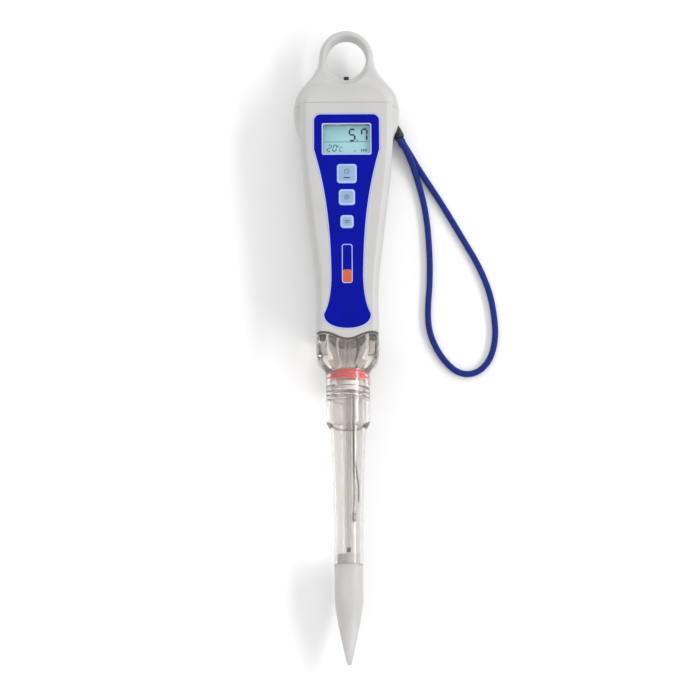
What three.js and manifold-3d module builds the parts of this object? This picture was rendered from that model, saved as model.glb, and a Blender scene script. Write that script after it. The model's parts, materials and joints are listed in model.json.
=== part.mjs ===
// A soil pH meter of the pen kind, lying on its back, in millimetres.
// X is to the right of its front face, Y runs along the pen towards its hanging ring, Z is out of its front face.
// Lengths along the pen are measured from a datum: the lower end of the case at its sides, with Y upwards.
import * as THREE from "three";
import { mergeVertices } from "three/addons/utils/BufferGeometryUtils.js";
import Module from "manifold-3d";

const wasm = await Module();
wasm.setup();

// ---------- Driving dimensions ----------
// Clearances
const FIT = 0.15; // between parts that seat in each other
const REST = 0.05; // between faces that only touch
const CUT_GAP = 0.3; // round a piece that runs through another

// Case
const CASE_LENGTH = 92.6; // from the datum to the seam with the battery cap
const WALL = 1.8;
const NECK_HALF = 12.25; // half width at the lower end
const WAIST_HALF = 12.05; // half width just above it
const WAIST_Y = 13;
const HEAD_HALF = 18.3; // half width at the display
const HEAD_DROP = 12.6; // from the seam down to where the head is at full width
const FRONT_EDGE = { x: 2.8, z: 4.5 }; // rounding between the front face and the sides
const BACK_EDGE = { x: 4.5, z: 6 };
const EAR_REACH = 2.65; // how far the shoulder ears stand out of the head's sides
const EAR_DROP = 1.8; // from the seam down to the widest point of the ears
const EAR_THICK = 9.6;
const EAR_EDGE = 2.6;
const WAVE_DEPTH = 2.6; // dip of the case's lower edge at its middle
const WAVE_HALF_PERIOD = 9.1;
const SEAL_THICK = 0.9; // cord seal between the shells

// Label film, window and keys on the front face
const FILM = 0.3;
const FILM_BORDER = 0.4;
const FILM_TOP_DROP = 4.5; // from the seam down to the film's top edge
const FILM_HEAD_HALF = 13.25;
const FILM_WAIST_HALF = 6.55;
const FILM_FOOT_HALF = 9.45;
const FILM_CORNER = 3;
const WINDOW = { width: 19.5, height: 13, drop: 15.1, thick: 1.1 }; // drop: from the seam to its centre
const WINDOW_LEDGE = 0.6;
const KEY_RISE = 0.6; // how far a key stands out of the film
const KEY_TRAVEL = 0.5;
const KEYS = [
  { name: "power", size: 7.8, drop: 29.4 },
  { name: "cal", size: 6.4, drop: 39 },
  { name: "units", size: 5.2, drop: 48.9 },
];
const KEY_FLANGE = { reach: 0.7, thick: 0.8 };
const KEY_STEM = 1.2;

// Circuit board and display stack
const BOARD = { thick: 1.0, gap: 0.25, headHalf: 13.5, neckHalf: 8.2, notchHalf: 4.2, bottom: 13.5 };
const SWITCH = { size: 4.2, height: 1.2, button: 0.8, buttonRise: 0.2 };
const BACKLIGHT_THICK = 1.1;
const GLASS_THICK = 1.4;
const BEZEL = { wall: 0.8, lip: 0.4, reach: 0.6, grow: 0.5 };
const ZEBRA = { margin: 0.75, depth: 1.5 }; // the strip that joins the display to the board
const BOSS = { r: 2.1, hole: 0.8 };
const SCREW = { headR: 1.7, headThick: 1.1, shankR: 0.7, grip: 2.2 };
const SCREW_RISES = [19.5, 4.5]; // from the board's lower edge
const CHIP_DROPS = { controller: 18.0, amplifier: 8.0 }; // from the lowest key

// Battery and its tube
const CELL = { r: 5.25, length: 43.7, nubR: 1.9, nub: 0.8 };
const TUBE_WALL = 0.9;
const TUBE_BORE_GAP = 0.25;
const SPIGOT = { overCell: 1.1, length: 6.8, recessR: 4.4, recess: 5.0 };
const MOUTH_WALL = 1.0;
const SPRING = { wire: 0.5, r: 3.2, turns: 3 };
const CONTACT_THICK = 0.4;
const CAP_SEAL_R = 0.5;

// Battery cap and hanging ring
const RING_RISE = 21.2; // from the seam to the ring's centre
const RING_OUT = { x: 10.9, y: 11.8 };
const RING_HOLE = { x: 7.9, y: 8.8 };
const RING_THICK = 8.4;
const RING_EDGE = 1.3;
const CAP_WALL = 2.2;
const CAP_BACK_LIFT = 0.3; // the cap's back clears the surface by this much
const POCKET = 6.0; // depth of the hollow in the cap
const PLATE = 1.5; // thickness of the plug's plate
const LIP = { depth: 2.0, wall: 1.2 };
const LATCH = { width: 2.1, thick: 3.4, stand: 0.7, footWidth: 6.0, foot: 1.6, travel: 2.0, leg: 3.0, legThick: 1.0 };

// Clear probe housing
const GASKET = 0.8;
const SKIRT = 6.3; // straight part below the datum
const TAPER = 9.0;
const COLLAR_WALL = 1.4;
const COLLAR = 19.2; // length of the round collar
const COLLAR_CHAMFER = { length: 1.6, drop: 1.0 };
const HOUSING_WALL = 1.6;
const HOUSING_SPIGOT = 10;

// Probe
const PROBE_R = 6.95; // the threaded head
const HEAD_WALL = 2.35;
const PROBE_WALL = 1.1;
const BODY_END_R = 5.6;
const BODY_TAPER = 45; // length over which the body narrows
const BODY_LENGTH = 53.2; // from the collar's end to the joint with the tip
const HEAD_SETBACK = 1.7; // the head's top is this far above the collar's start
const SEAL_SECTION = 0.62; // radius of the red sealing rings' section
const SEAL_DROPS = [1.1, 3.1]; // from the head's top
const THREAD = { pitch: 1.7, turns: 3, height: 0.42, drop: 6.6 };
const TIP = { inset: 0.1, straight: 13.0, cone: 24.9, nose: 0.9, spigot: 4.0 };
const STEM = { r: 1.3, wall: 0.45, above: 11.5 };
const PELLET = 1.6;
const STOPPER = { thick: 3.2, drop: 4.6 };
const REFERENCE = { x: 2.2, r: 0.45, bottom: -68.5, pelletR: 0.75, pellet: 4.4 };
const THERMAL = { lift: 1.9, r: 0.3, bottom: -65 };
const LEAD_R = 0.55;
const LEAD_X = 4.0;

// Lanyard
const CORD_R = 1.25;
const BEAD = { width: 4.0, height: 4.8, length: 5.6, z: 2.55, taper: 0.7 };
const BEAD_OUT = 0.5; // from the ears' widest point out to the middle of the bead's mouth
const BEAD_DROP = 8.9; // from the seam down to it
const BEAD_TURN = THREE.MathUtils.degToRad(24); // the strands leave this far to the right of straight down
const STRING_R = 0.4;
const TAB = { inset: 0.25, root: 1.8, below: 2.4, length: 2.2, backZ: 2.6, frontZ: 4.4, holeR: 0.85, holeX: 1.5 };
const STRAND_OFFSET = 0.6; // sideways, from the bead's centre
const STRAND_Z = [1.35, 3.75];

// ---------- Derived sizes and places ----------
// The depth of the case is the sum of what lies in it, from the back wall to the front.
const SPIGOT_R = CELL.r + SPIGOT.overCell;
const MOUTH_R = SPIGOT_R + FIT + MOUTH_WALL;
const TUBE_R = CELL.r + TUBE_BORE_GAP + TUBE_WALL;
const BATTERY_Z = WALL + 2 * REST + MOUTH_R;
const BOARD_BACK = BATTERY_Z + TUBE_R + BOARD.gap;
const BOARD_FRONT = BOARD_BACK + BOARD.thick;
const GLASS_BACK = BOARD_FRONT + BACKLIGHT_THICK + 2 * REST;
const BEZEL_TOP = GLASS_BACK + GLASS_THICK + BEZEL.lip;
const INNER_FRONT = BEZEL_TOP + FIT;
const CASE_DEPTH = INNER_FRONT + WALL;
const AXIS_Z = CASE_DEPTH / 2; // height of the long axis, and of the seam between the two shells
const PLUG_INSET = CAP_WALL + 2 * FIT; // the plug's sides, from the outline of the case and cap
const LATCH_Z = AXIS_Z + 2;
const LATCH_LEG_Z = CASE_DEPTH - PLUG_INSET - LIP.wall - LATCH.legThick / 2 - 0.25;
const EAR_HALF = HEAD_HALF + EAR_REACH;
const COLLAR_R = PROBE_R + FIT + COLLAR_WALL;
const PROBE_BORE = PROBE_R - HEAD_WALL;
const BODY_ROOT_R = PROBE_R - 0.05;
const TIP_R = BODY_END_R - TIP.inset;
const SEAM = CASE_LENGTH;
const RING_Y = SEAM + RING_RISE;
const TOP = RING_Y + RING_OUT.y;
const CAP_RISE = RING_RISE - RING_HOLE.y + 1.2; // the height of the cap's rounded body
const COLLAR_TOP = -SKIRT - TAPER;
const COLLAR_END = COLLAR_TOP - COLLAR;
const HOUSING_END = COLLAR_END - COLLAR_CHAMFER.length;
const TIP_JOINT = HOUSING_END - BODY_LENGTH;
const TIP_END = TIP_JOINT - TIP.straight - TIP.cone;
const CENTRE_Y = (TOP + TIP_END) / 2;
const BEAD_MOUTH = [EAR_HALF + BEAD_OUT, SEAM - BEAD_DROP - CENTRE_Y];
const SCREW_YS = SCREW_RISES.map((rise) => BOARD.bottom + rise);
const WINDOW_Y = SEAM - WINDOW.drop;
const BORE_R = PROBE_R + FIT;
const HEAD_TOP = COLLAR_TOP + HEAD_SETBACK;
const CORNER_STEPS = 4;
const ROUND = 24; // segments of a round part

// ---------- Helpers ----------
// A closed geometry as a manifold solid, facing out.
function solid(geometry) {
  const plain = geometry.index ? geometry.toNonIndexed() : geometry.clone();
  for (const name of Object.keys(plain.attributes)) {
    if (name !== "position") plain.deleteAttribute(name);
  }
  const merged = mergeVertices(plain, 1e-4);
  const triVerts = new Uint32Array(merged.index.array);
  const vertProperties = new Float32Array(merged.attributes.position.array);
  const made = new wasm.Manifold(new wasm.Mesh({ numProp: 3, vertProperties, triVerts }));
  if (made.volume() >= 0) return made;
  return new wasm.Manifold(new wasm.Mesh({ numProp: 3, vertProperties, triVerts: triVerts.reverse() }));
}

// A manifold solid as a geometry that three.js can draw.
function geometryOf(made) {
  const mesh = made.getMesh();
  const geometry = new THREE.BufferGeometry();
  const positions = new Float32Array(mesh.numVert * 3);
  for (let i = 0; i < mesh.numVert; i++) {
    positions.set(mesh.vertProperties.subarray(i * mesh.numProp, i * mesh.numProp + 3), i * 3);
  }
  geometry.setAttribute("position", new THREE.BufferAttribute(positions, 3));
  geometry.setIndex(new THREE.BufferAttribute(mesh.triVerts, 1));
  geometry.computeVertexNormals();
  return geometry;
}

function add(...solids) {
  return solids.reduce((sum, next) => sum.add(next));
}

// A box between two corners.
function box(low, high) {
  const size = high.map((value, i) => value - low[i]);
  const geometry = new THREE.BoxGeometry(...size);
  geometry.translate(...low.map((value, i) => value + size[i] / 2));
  return solid(geometry);
}

// A flat shape in XY, from backZ to frontZ, with rounded edges if edge is given.
function slab(shape, backZ, frontZ, edge = null, curveSegments = 6) {
  const depth = frontZ - backZ;
  const rounding = edge
    ? { bevelEnabled: true, bevelSize: edge.size, bevelThickness: edge.thick, bevelOffset: -edge.size }
    : { bevelEnabled: false };
  const thick = edge ? edge.thick : 0;
  const geometry = new THREE.ExtrudeGeometry(shape, {
    depth: depth - 2 * thick,
    curveSegments,
    bevelSegments: 2,
    ...rounding,
  });
  geometry.translate(0, 0, backZ + thick);
  return solid(geometry);
}

// A round part about the line x = 0, z = centreZ, from a closed profile of [radius, y].
function lathe(profile, centreZ = AXIS_Z, segments = ROUND) {
  const points = profile.map(([r, y]) => new THREE.Vector2(r, y));
  const geometry = new THREE.LatheGeometry([...points, points[0].clone()], segments);
  geometry.translate(0, 0, centreZ);
  return solid(geometry);
}

function rod(r, low, high, centreZ = AXIS_Z, segments = ROUND) {
  return lathe([[0, low], [r, low], [r, high], [0, high]], centreZ, segments);
}

// A round bar of radius r along a curve.
function bar(curve, r, steps, sides = 8) {
  const section = new THREE.Shape().absarc(0, 0, r, 0, Math.PI * 2);
  return new THREE.ExtrudeGeometry(section, { steps, extrudePath: curve, curveSegments: sides / 2 });
}

class Helix extends THREE.Curve {
  constructor(r, pitch, turns, centre) {
    super();
    Object.assign(this, { r, pitch, turns, centre });
  }
  getPoint(t, target = new THREE.Vector3()) {
    const angle = (t - 0.5) * this.turns * Math.PI * 2;
    const along = (t - 0.5) * this.turns * this.pitch;
    const [x, y, z] = this.centre;
    return target.set(x + this.r * Math.cos(angle), y + along, z + this.r * Math.sin(angle));
  }
}

function curveThrough(points) {
  return new THREE.CatmullRomCurve3(points.map((p) => new THREE.Vector3(...p)), false, "centripetal");
}

function roundedRect(width, height, r, cx = 0, cy = 0) {
  const [x, y] = [width / 2 - r, height / 2 - r];
  const shape = new THREE.Shape();
  shape.absarc(cx + x, cy + y, r, 0, Math.PI / 2);
  shape.absarc(cx - x, cy + y, r, Math.PI / 2, Math.PI);
  shape.absarc(cx - x, cy - y, r, Math.PI, Math.PI * 1.5);
  shape.absarc(cx + x, cy - y, r, Math.PI * 1.5, Math.PI * 2);
  shape.closePath();
  return shape;
}

// A closed shape from its right-hand side, listed from the bottom up.
function mirrored(rightSide) {
  const left = rightSide.map((p) => new THREE.Vector2(-p.x, p.y)).reverse();
  const points = [...rightSide, ...left];
  return new THREE.Shape(points.filter((p, i) => i === 0 || p.distanceTo(points[i - 1]) > 1e-6));
}

// A closed solid through rings of points at increasing Y, each ring listed from +X towards +Z.
function loft(rings) {
  const count = rings[0].length;
  const positions = rings.flat().flatMap((p) => [p.x, p.y, p.z]);
  const index = [];
  for (let i = 0; i < rings.length - 1; i++) {
    for (let j = 0; j < count; j++) {
      const next = (j + 1) % count;
      const [a, b] = [i * count + j, i * count + next];
      const [c, d] = [a + count, b + count];
      index.push(a, c, b, b, c, d);
    }
  }
  for (const [ring, up] of [[0, false], [rings.length - 1, true]]) {
    const centre = new THREE.Vector3();
    rings[ring].forEach((p) => centre.add(p));
    centre.divideScalar(count);
    const middle = positions.length / 3;
    positions.push(centre.x, centre.y, centre.z);
    for (let j = 0; j < count; j++) {
      const [a, b] = [ring * count + j, ring * count + ((j + 1) % count)];
      index.push(...(up ? [middle, b, a] : [middle, a, b]));
    }
  }
  const geometry = new THREE.BufferGeometry();
  geometry.setAttribute("position", new THREE.Float32BufferAttribute(positions, 3));
  geometry.setIndex(index);
  return solid(geometry);
}

// One cross-section of the pen at height y: flat sides joined by elliptical corners, inset by a wall.
// soft from 0 to 1 turns the section into an ellipse.
function section(y, halfWidth, halfDepth, inset = 0, soft = 0) {
  const points = [];
  const [w, h] = [halfWidth - inset, halfDepth - inset];
  for (let quarter = 0; quarter < 4; quarter++) {
    const edge = quarter < 2 ? FRONT_EDGE : BACK_EDGE;
    const a = THREE.MathUtils.lerp(Math.max(edge.x - inset, 0.8), w, soft);
    const b = THREE.MathUtils.lerp(Math.min(Math.max(edge.z - inset, 0.8), h), h, soft);
    const [sx, sz] = [quarter === 0 || quarter === 3 ? 1 : -1, quarter < 2 ? 1 : -1];
    for (let k = 0; k <= CORNER_STEPS; k++) {
      const angle = ((quarter + k / CORNER_STEPS) * Math.PI) / 2;
      const x = sx * (w - a) + a * Math.cos(angle);
      const z = AXIS_Z + sz * (h - b) + b * Math.sin(angle);
      points.push(new THREE.Vector3(x, y, z));
    }
  }
  return points;
}

// A round ring with as many points as a section, so that the two can be lofted together.
function circle(y, r) {
  return section(y, r, r, 0, 1);
}

// Half width of the case at height y.
function caseHalf(y) {
  const bend = new THREE.CubicBezierCurve(
    new THREE.Vector2(WAIST_HALF, WAIST_Y),
    new THREE.Vector2(WAIST_HALF, WAIST_Y + 0.25 * (SEAM - HEAD_DROP - WAIST_Y)),
    new THREE.Vector2(HEAD_HALF - 0.7, WAIST_Y + 0.67 * (SEAM - HEAD_DROP - WAIST_Y)),
    new THREE.Vector2(HEAD_HALF, SEAM - HEAD_DROP),
  );
  if (y >= SEAM - HEAD_DROP) return HEAD_HALF;
  if (y <= WAIST_Y) {
    const fall = THREE.MathUtils.smoothstep(y, 0.4 * WAIST_Y, WAIST_Y);
    return THREE.MathUtils.lerp(NECK_HALF, WAIST_HALF, fall);
  }
  let [low, high] = [0, 1];
  for (let i = 0; i < 30; i++) {
    const mid = (low + high) / 2;
    if (bend.getPoint(mid).y < y) low = mid;
    else high = mid;
  }
  return bend.getPoint(low).x;
}

// The case's outer or inner form between two heights.
function caseForm(low, high, inset) {
  const rings = [];
  const stations = 14;
  for (let i = 0; i <= stations; i++) {
    const y = THREE.MathUtils.lerp(low, high, i / stations);
    rings.push(section(y, caseHalf(y), CASE_DEPTH / 2, inset));
  }
  return loft(rings);
}

// The wavy lower edge of the case: its height at x.
function wave(x) {
  const reach = Math.min(Math.abs(x) / WAVE_HALF_PERIOD, 1);
  return (-WAVE_DEPTH / 2) * (1 + Math.cos(Math.PI * reach));
}

// Everything above, or below, the wavy edge moved up by lift.
function waveBlock(lift, above) {
  const reach = EAR_HALF + 5;
  const far = above ? SEAM + 40 : COLLAR_END - 40;
  const points = [new THREE.Vector2(reach, far), new THREE.Vector2(-reach, far)];
  points.push(new THREE.Vector2(-reach, wave(reach) + lift));
  const steps = 24;
  for (let i = 0; i <= steps; i++) {
    const x = THREE.MathUtils.lerp(-WAVE_HALF_PERIOD, WAVE_HALF_PERIOD, i / steps);
    points.push(new THREE.Vector2(x, wave(x) + lift));
  }
  points.push(new THREE.Vector2(reach, wave(reach) + lift));
  return slab(new THREE.Shape(points), -5, CASE_DEPTH + 5);
}

// ---------- Materials ----------
function plastic(color, roughness = 0.45) {
  return new THREE.MeshStandardMaterial({ color, roughness, metalness: 0 });
}
function metal(color, roughness = 0.35) {
  return new THREE.MeshStandardMaterial({ color, roughness, metalness: 1 });
}
function clear(color, opacity = 0.35) {
  return new THREE.MeshStandardMaterial({ color, roughness: 0.08, transparent: true, opacity });
}
const MATERIALS = {
  case: plastic(0xd2d2d0, 0.42),
  seal: plastic(0x3a3936, 0.8),
  film: plastic(0x0a12a0, 0.3),
  key: plastic(0x9fb8de, 0.5),
  window: clear(0xe6f0f5),
  glass: clear(0xa6c6c6, 0.9),
  white: plastic(0xf2f2ee),
  black: plastic(0x121214, 0.5),
  board: plastic(0x14532a, 0.55),
  steel: metal(0xbfc2c6),
  gold: metal(0xc9a24a),
  cell: metal(0x8a8f96, 0.3),
  red: plastic(0xc2332b, 0.45),
  clear: clear(0xece7e2),
  frosted: clear(0xcfcac8, 0.8),
  silver: metal(0x5e5c5a, 0.6),
  cord: plastic(0x1432a8, 0.85),
};

function part(name, made, material) {
  const geometry = made.isBufferGeometry ? made : geometryOf(made);
  const mesh = new THREE.Mesh(geometry, MATERIALS[material]);
  mesh.name = name;
  return mesh;
}

function group(...meshes) {
  const made = new THREE.Group();
  made.add(...meshes);
  return made;
}

// ---------- Case ----------
// The right-hand side of the shoulder ears, from the head's side up to the ring.
function earSide() {
  const widest = SEAM - EAR_DROP;
  const v = (x, y) => new THREE.Vector2(x, y);
  const lower = new THREE.CubicBezierCurve(
    v(HEAD_HALF, SEAM - HEAD_DROP),
    v(HEAD_HALF + 0.3, SEAM - HEAD_DROP + 4),
    v(EAR_HALF, widest - 5.5),
    v(EAR_HALF, widest),
  );
  const upper = new THREE.CubicBezierCurve(
    v(EAR_HALF, widest),
    v(EAR_HALF, widest + 5),
    v(EAR_HALF - 1.65, widest + 8.6),
    v(EAR_HALF - 4.65, widest + 12),
  );
  const neck = new THREE.CubicBezierCurve(
    v(EAR_HALF - 4.65, widest + 12),
    v(RING_OUT.x + 2.7, RING_Y - 8.0),
    v(RING_OUT.x + 0.7, RING_Y - 6.2),
    v(RING_OUT.x, RING_Y - 1.2),
  );
  return { lower: lower.getPoints(8), upper: upper.getPoints(8), neck: neck.getPoints(8) };
}

function earPlate() {
  const { lower, upper, neck } = earSide();
  const root = [new THREE.Vector2(HEAD_HALF - 4, SEAM - HEAD_DROP)];
  const shape = mirrored([...root, ...lower, ...upper.slice(1), ...neck.slice(1, 5)]);
  const half = EAR_THICK / 2;
  return slab(shape, AXIS_Z - half, AXIS_Z + half, { size: EAR_EDGE, thick: half - 1.2 });
}

function filmSide(border) {
  const v = (x, y) => new THREE.Vector2(x, y);
  const [head, waist, foot] = [FILM_HEAD_HALF, FILM_WAIST_HALF, FILM_FOOT_HALF].map((w) => w - border);
  const top = SEAM - FILM_TOP_DROP - border;
  const shoulder = WINDOW_Y - 4.2;
  const low = 0.8 + border;
  const corner = FILM_CORNER - border;
  const bottom = new THREE.QuadraticBezierCurve(v(0, low), v(0.53 * foot, low), v(foot - 0.5, low + 4.1));
  const cornerLow = new THREE.QuadraticBezierCurve(v(foot - 0.5, low + 4.1), v(foot, low + 4.5), v(foot - 0.1, low + 5.2));
  const flare = new THREE.CubicBezierCurve(
    v(foot - 0.1, low + 5.2),
    v(waist + 1.15, 10.5),
    v(waist, 15.5),
    v(waist, 22),
  );
  const straight = 22;
  const rise = shoulder - straight;
  const taper = new THREE.CubicBezierCurve(
    v(waist, straight),
    v(waist + 0.35, straight + 0.47 * rise),
    v(waist + 2.85, straight + 0.74 * rise),
    v(head, shoulder),
  );
  const roundTop = new THREE.EllipseCurve(head - corner, top - corner, corner, corner, 0, Math.PI / 2);
  return [
    ...bottom.getPoints(6),
    ...cornerLow.getPoints(3).slice(1),
    ...flare.getPoints(7).slice(1),
    ...taper.getPoints(10).slice(1),
    ...roundTop.getPoints(6),
  ];
}

function keyHole(key, gap, backZ, frontZ) {
  const size = key.size + 2 * gap;
  return slab(roundedRect(size, size, 1.2 + gap, 0, SEAM - key.drop), backZ, frontZ, null, 3);
}

function windowHole(grow, backZ, frontZ) {
  const shape = roundedRect(WINDOW.width + 2 * grow, WINDOW.height + 2 * grow, 0.8 + Math.max(grow, 0), 0, WINDOW_Y);
  return slab(shape, backZ, frontZ, null, 3);
}

// Tab under the right-hand ear that the lanyard's string loops through.
function lanyardTab() {
  const low = SEAM - TAB.below;
  const [left, right] = [HEAD_HALF - TAB.root, EAR_HALF - TAB.inset];
  const shape = roundedRect(right - left, TAB.length, 0.9, (left + right) / 2, low + TAB.length / 2);
  const hole = new THREE.Path().absarc(tabHole().x, tabHole().y, TAB.holeR, 0, Math.PI * 2);
  shape.holes.push(hole);
  return slab(shape, TAB.backZ, TAB.frontZ, null, 4);
}

function tabHole() {
  return new THREE.Vector2(EAR_HALF - TAB.inset - TAB.holeX, SEAM - TAB.below + TAB.length / 2);
}

function makeCase() {
  const aboveEdge = waveBlock(0, true);
  const belowSeam = box([-40, -20, -5], [40, SEAM - REST, CASE_DEPTH + 5]);
  const ears = earPlate().intersect(belowSeam);
  const outer = add(caseForm(-WAVE_DEPTH - 2, SEAM - REST, 0), ears).intersect(aboveEdge);
  const inner = caseForm(-WAVE_DEPTH - 3, SEAM + 1, WALL);
  const shell = outer.subtract(inner);

  const front = box([-40, -20, AXIS_Z + REST], [40, SEAM + 20, CASE_DEPTH + 5]);
  const back = box([-40, -20, -5], [40, SEAM + 20, AXIS_Z - REST]);
  const filmBed = slab(mirrored(filmSide(-FIT)), CASE_DEPTH - FILM, CASE_DEPTH + 5, null, 6);
  let frontShell = shell.intersect(front).subtract(filmBed);
  frontShell = frontShell.subtract(windowHole(FIT + WINDOW_LEDGE, CASE_DEPTH - FILM - WINDOW.thick - REST, CASE_DEPTH + 1));
  frontShell = frontShell.subtract(windowHole(-WINDOW_LEDGE, INNER_FRONT - 1, CASE_DEPTH));
  for (const key of KEYS) frontShell = frontShell.subtract(keyHole(key, FIT, INNER_FRONT - 1, CASE_DEPTH + 1));
  for (const y of SCREW_YS) frontShell = frontShell.add(boardBoss(y));

  let rearShell = shell.intersect(back).add(lanyardTab().subtract(inner));
  for (const y of [SEAM - SPIGOT.length - 12, SEAM - SPIGOT.length - CELL.length + 6]) {
    rearShell = rearShell.add(tubeSaddle(y));
  }

  // A cord seal lies in a groove in each of the rear shell's two rims.
  const sealRing = (grow, low, high) => {
    const middle = WALL / 2;
    const half = SEAL_THICK / 2 + grow;
    const outside = caseForm(2 - grow, SEAM - 2 + grow, middle - half);
    const inside = caseForm(1, SEAM - 1, middle + half);
    return outside.subtract(inside).intersect(box([-40, -20, low], [40, SEAM + 20, high]));
  };
  const sealLow = AXIS_Z - 0.8;
  rearShell = rearShell.subtract(sealRing(FIT, sealLow - FIT, AXIS_Z + 1));
  const seal = sealRing(0, sealLow, AXIS_Z);
  return group(
    part("front_shell", frontShell, "case"),
    part("rear_shell", rearShell, "case"),
    part("case_seal_left", seal.intersect(box([-40, -20, 0], [0, SEAM, CASE_DEPTH])), "seal"),
    part("case_seal_right", seal.intersect(box([0, -20, 0], [40, SEAM, CASE_DEPTH])), "seal"),
  );
}

// A boss under the front wall that takes a board screw.
function boardBoss(y) {
  const length = INNER_FRONT + 0.5 - BOARD_FRONT - REST;
  const outside = new THREE.CylinderGeometry(BOSS.r, BOSS.r, length, 16);
  const hole = new THREE.CylinderGeometry(BOSS.hole, BOSS.hole, length - 0.8, 12);
  for (const geometry of [outside, hole]) geometry.rotateX(Math.PI / 2);
  outside.translate(0, y, BOARD_FRONT + REST + length / 2);
  hole.translate(0, y, BOARD_FRONT + REST + (length - 0.8) / 2 - 0.01);
  return solid(outside).subtract(solid(hole));
}

// A rib in the rear shell that the battery tube lies in.
function tubeSaddle(y) {
  const reach = CELL.r + TUBE_WALL + 2.4;
  const rib = box([-reach, y, WALL - 0.2], [reach, y + 1.5, BATTERY_Z - 2.5]);
  return rib.subtract(rod(TUBE_R + FIT, y - 1, y + 3, BATTERY_Z));
}

// ---------- Label film, window and display ----------
function makeFace() {
  const filmBack = CASE_DEPTH - FILM + REST;
  let film = slab(mirrored(filmSide(0)), filmBack, CASE_DEPTH, null, 6);
  film = film.subtract(windowHole(0, CASE_DEPTH - 2, CASE_DEPTH + 1));
  for (const key of KEYS) film = film.subtract(keyHole(key, FIT, CASE_DEPTH - 2, CASE_DEPTH + 1));

  const paneTop = CASE_DEPTH - FILM - REST / 2;
  const paneBack = CASE_DEPTH - FILM - WINDOW.thick;
  const pane = windowHole(WINDOW_LEDGE, paneBack, paneTop);

  const glassSize = [WINDOW.width, WINDOW.height].map((size) => size + 2 * BEZEL.grow);
  const plate = (width, height, low, high) =>
    slab(roundedRect(width, height, 0.3, 0, WINDOW_Y), low, high, null, 1);
  const zebraY = WINDOW_Y - glassSize[1] / 2 + ZEBRA.depth / 2 + 0.1;
  const zebraTop = zebraY + ZEBRA.depth / 2;
  const lit = box([-20, zebraTop + CUT_GAP, 0], [20, SEAM, CASE_DEPTH]);
  const backlight = plate(...glassSize, BOARD_FRONT + REST, BOARD_FRONT + REST + BACKLIGHT_THICK).intersect(lit);
  const zebra = new THREE.BoxGeometry(WINDOW.width - 2 * ZEBRA.margin, ZEBRA.depth, BACKLIGHT_THICK);
  zebra.translate(0, zebraY, BOARD_FRONT + REST + BACKLIGHT_THICK / 2);
  const glass = plate(...glassSize, GLASS_BACK, GLASS_BACK + GLASS_THICK);
  const frameOut = bezelSize();
  const frameIn = glassSize.map((size) => size + 2 * FIT);
  const sight = glassSize.map((size) => size - 2 * BEZEL.reach);
  const bezel = plate(...frameOut, BOARD_FRONT + REST, BEZEL_TOP)
    .subtract(plate(...frameIn, BOARD_FRONT - 1, GLASS_BACK + GLASS_THICK + REST))
    .subtract(plate(...sight, BOARD_FRONT, BEZEL_TOP + 1));
  return group(
    part("label_film", film, "film"),
    part("display_window", pane, "window"),
    part("lcd_glass", glass, "glass"),
    part("backlight", backlight, "white"),
    part("lcd_bezel", bezel, "black"),
    part("lcd_connector", zebra, "seal"),
  );
}

// Outer width and height of the frame round the display.
function bezelSize() {
  return [WINDOW.width, WINDOW.height].map((size) => size + 2 * (BEZEL.grow + FIT + BEZEL.wall));
}

// ---------- Keys ----------
// A key about its own centre: its top is at z = 0.
function keySolid(key) {
  const corner = 1.2;
  const shoulder = INNER_FRONT - FIT - CASE_DEPTH - KEY_RISE;
  const cap = slab(roundedRect(key.size, key.size, corner), shoulder - 0.1, 0, { size: 0.25, thick: 0.25 }, 3);
  const wide = key.size + 2 * KEY_FLANGE.reach;
  const flange = slab(roundedRect(wide, wide, corner + KEY_FLANGE.reach), shoulder - KEY_FLANGE.thick, shoulder, null, 3);
  const stem = new THREE.CylinderGeometry(KEY_STEM, KEY_STEM, 1.5, 12);
  stem.rotateX(Math.PI / 2);
  const buttonTop = BOARD_FRONT + SWITCH.height + SWITCH.buttonRise;
  const stemEnd = buttonTop + KEY_TRAVEL + 2 * REST - CASE_DEPTH - KEY_RISE;
  stem.translate(0, 0, stemEnd + 0.75);
  return add(cap, flange, solid(stem).intersect(box([-5, -5, stemEnd], [5, 5, shoulder])));
}

function makeKeys() {
  const made = new THREE.Group();
  for (const key of KEYS) {
    const cap = part("key_" + key.name, keySolid(key), "key");
    cap.position.set(0, SEAM - key.drop, CASE_DEPTH + KEY_RISE);
    const low = slab(roundedRect(SWITCH.size, SWITCH.size, 0.3), 0, SWITCH.height, null, 1);
    const button = new THREE.CylinderGeometry(SWITCH.button, SWITCH.button, SWITCH.buttonRise + 0.2, 12);
    button.rotateX(Math.PI / 2);
    button.translate(0, 0, SWITCH.height + SWITCH.buttonRise / 2 - 0.1);
    const tact = part("switch_" + key.name, low.add(solid(button)), "steel");
    tact.position.set(0, SEAM - key.drop, BOARD_FRONT + REST);
    made.add(cap, tact);
  }
  // The silicone mat that seals round the keys.
  const [first, last] = [KEYS[0], KEYS[KEYS.length - 1]];
  const rim = 1.0;
  const gap = KEY_FLANGE.reach + CUT_GAP;
  const top = SEAM - first.drop + first.size / 2 + gap + rim;
  const bottom = SEAM - last.drop - last.size / 2 - gap - rim;
  const width = first.size + 2 * (gap + rim);
  const matTop = INNER_FRONT - REST;
  let mat = slab(roundedRect(width, top - bottom, 1.5, 0, (top + bottom) / 2), matTop - 0.8, matTop, null, 4);
  for (const key of KEYS) mat = mat.subtract(keyHole(key, gap, matTop - 2, matTop + 1));
  made.add(part("keypad_mat", mat, "seal"));
  return made;
}

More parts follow.
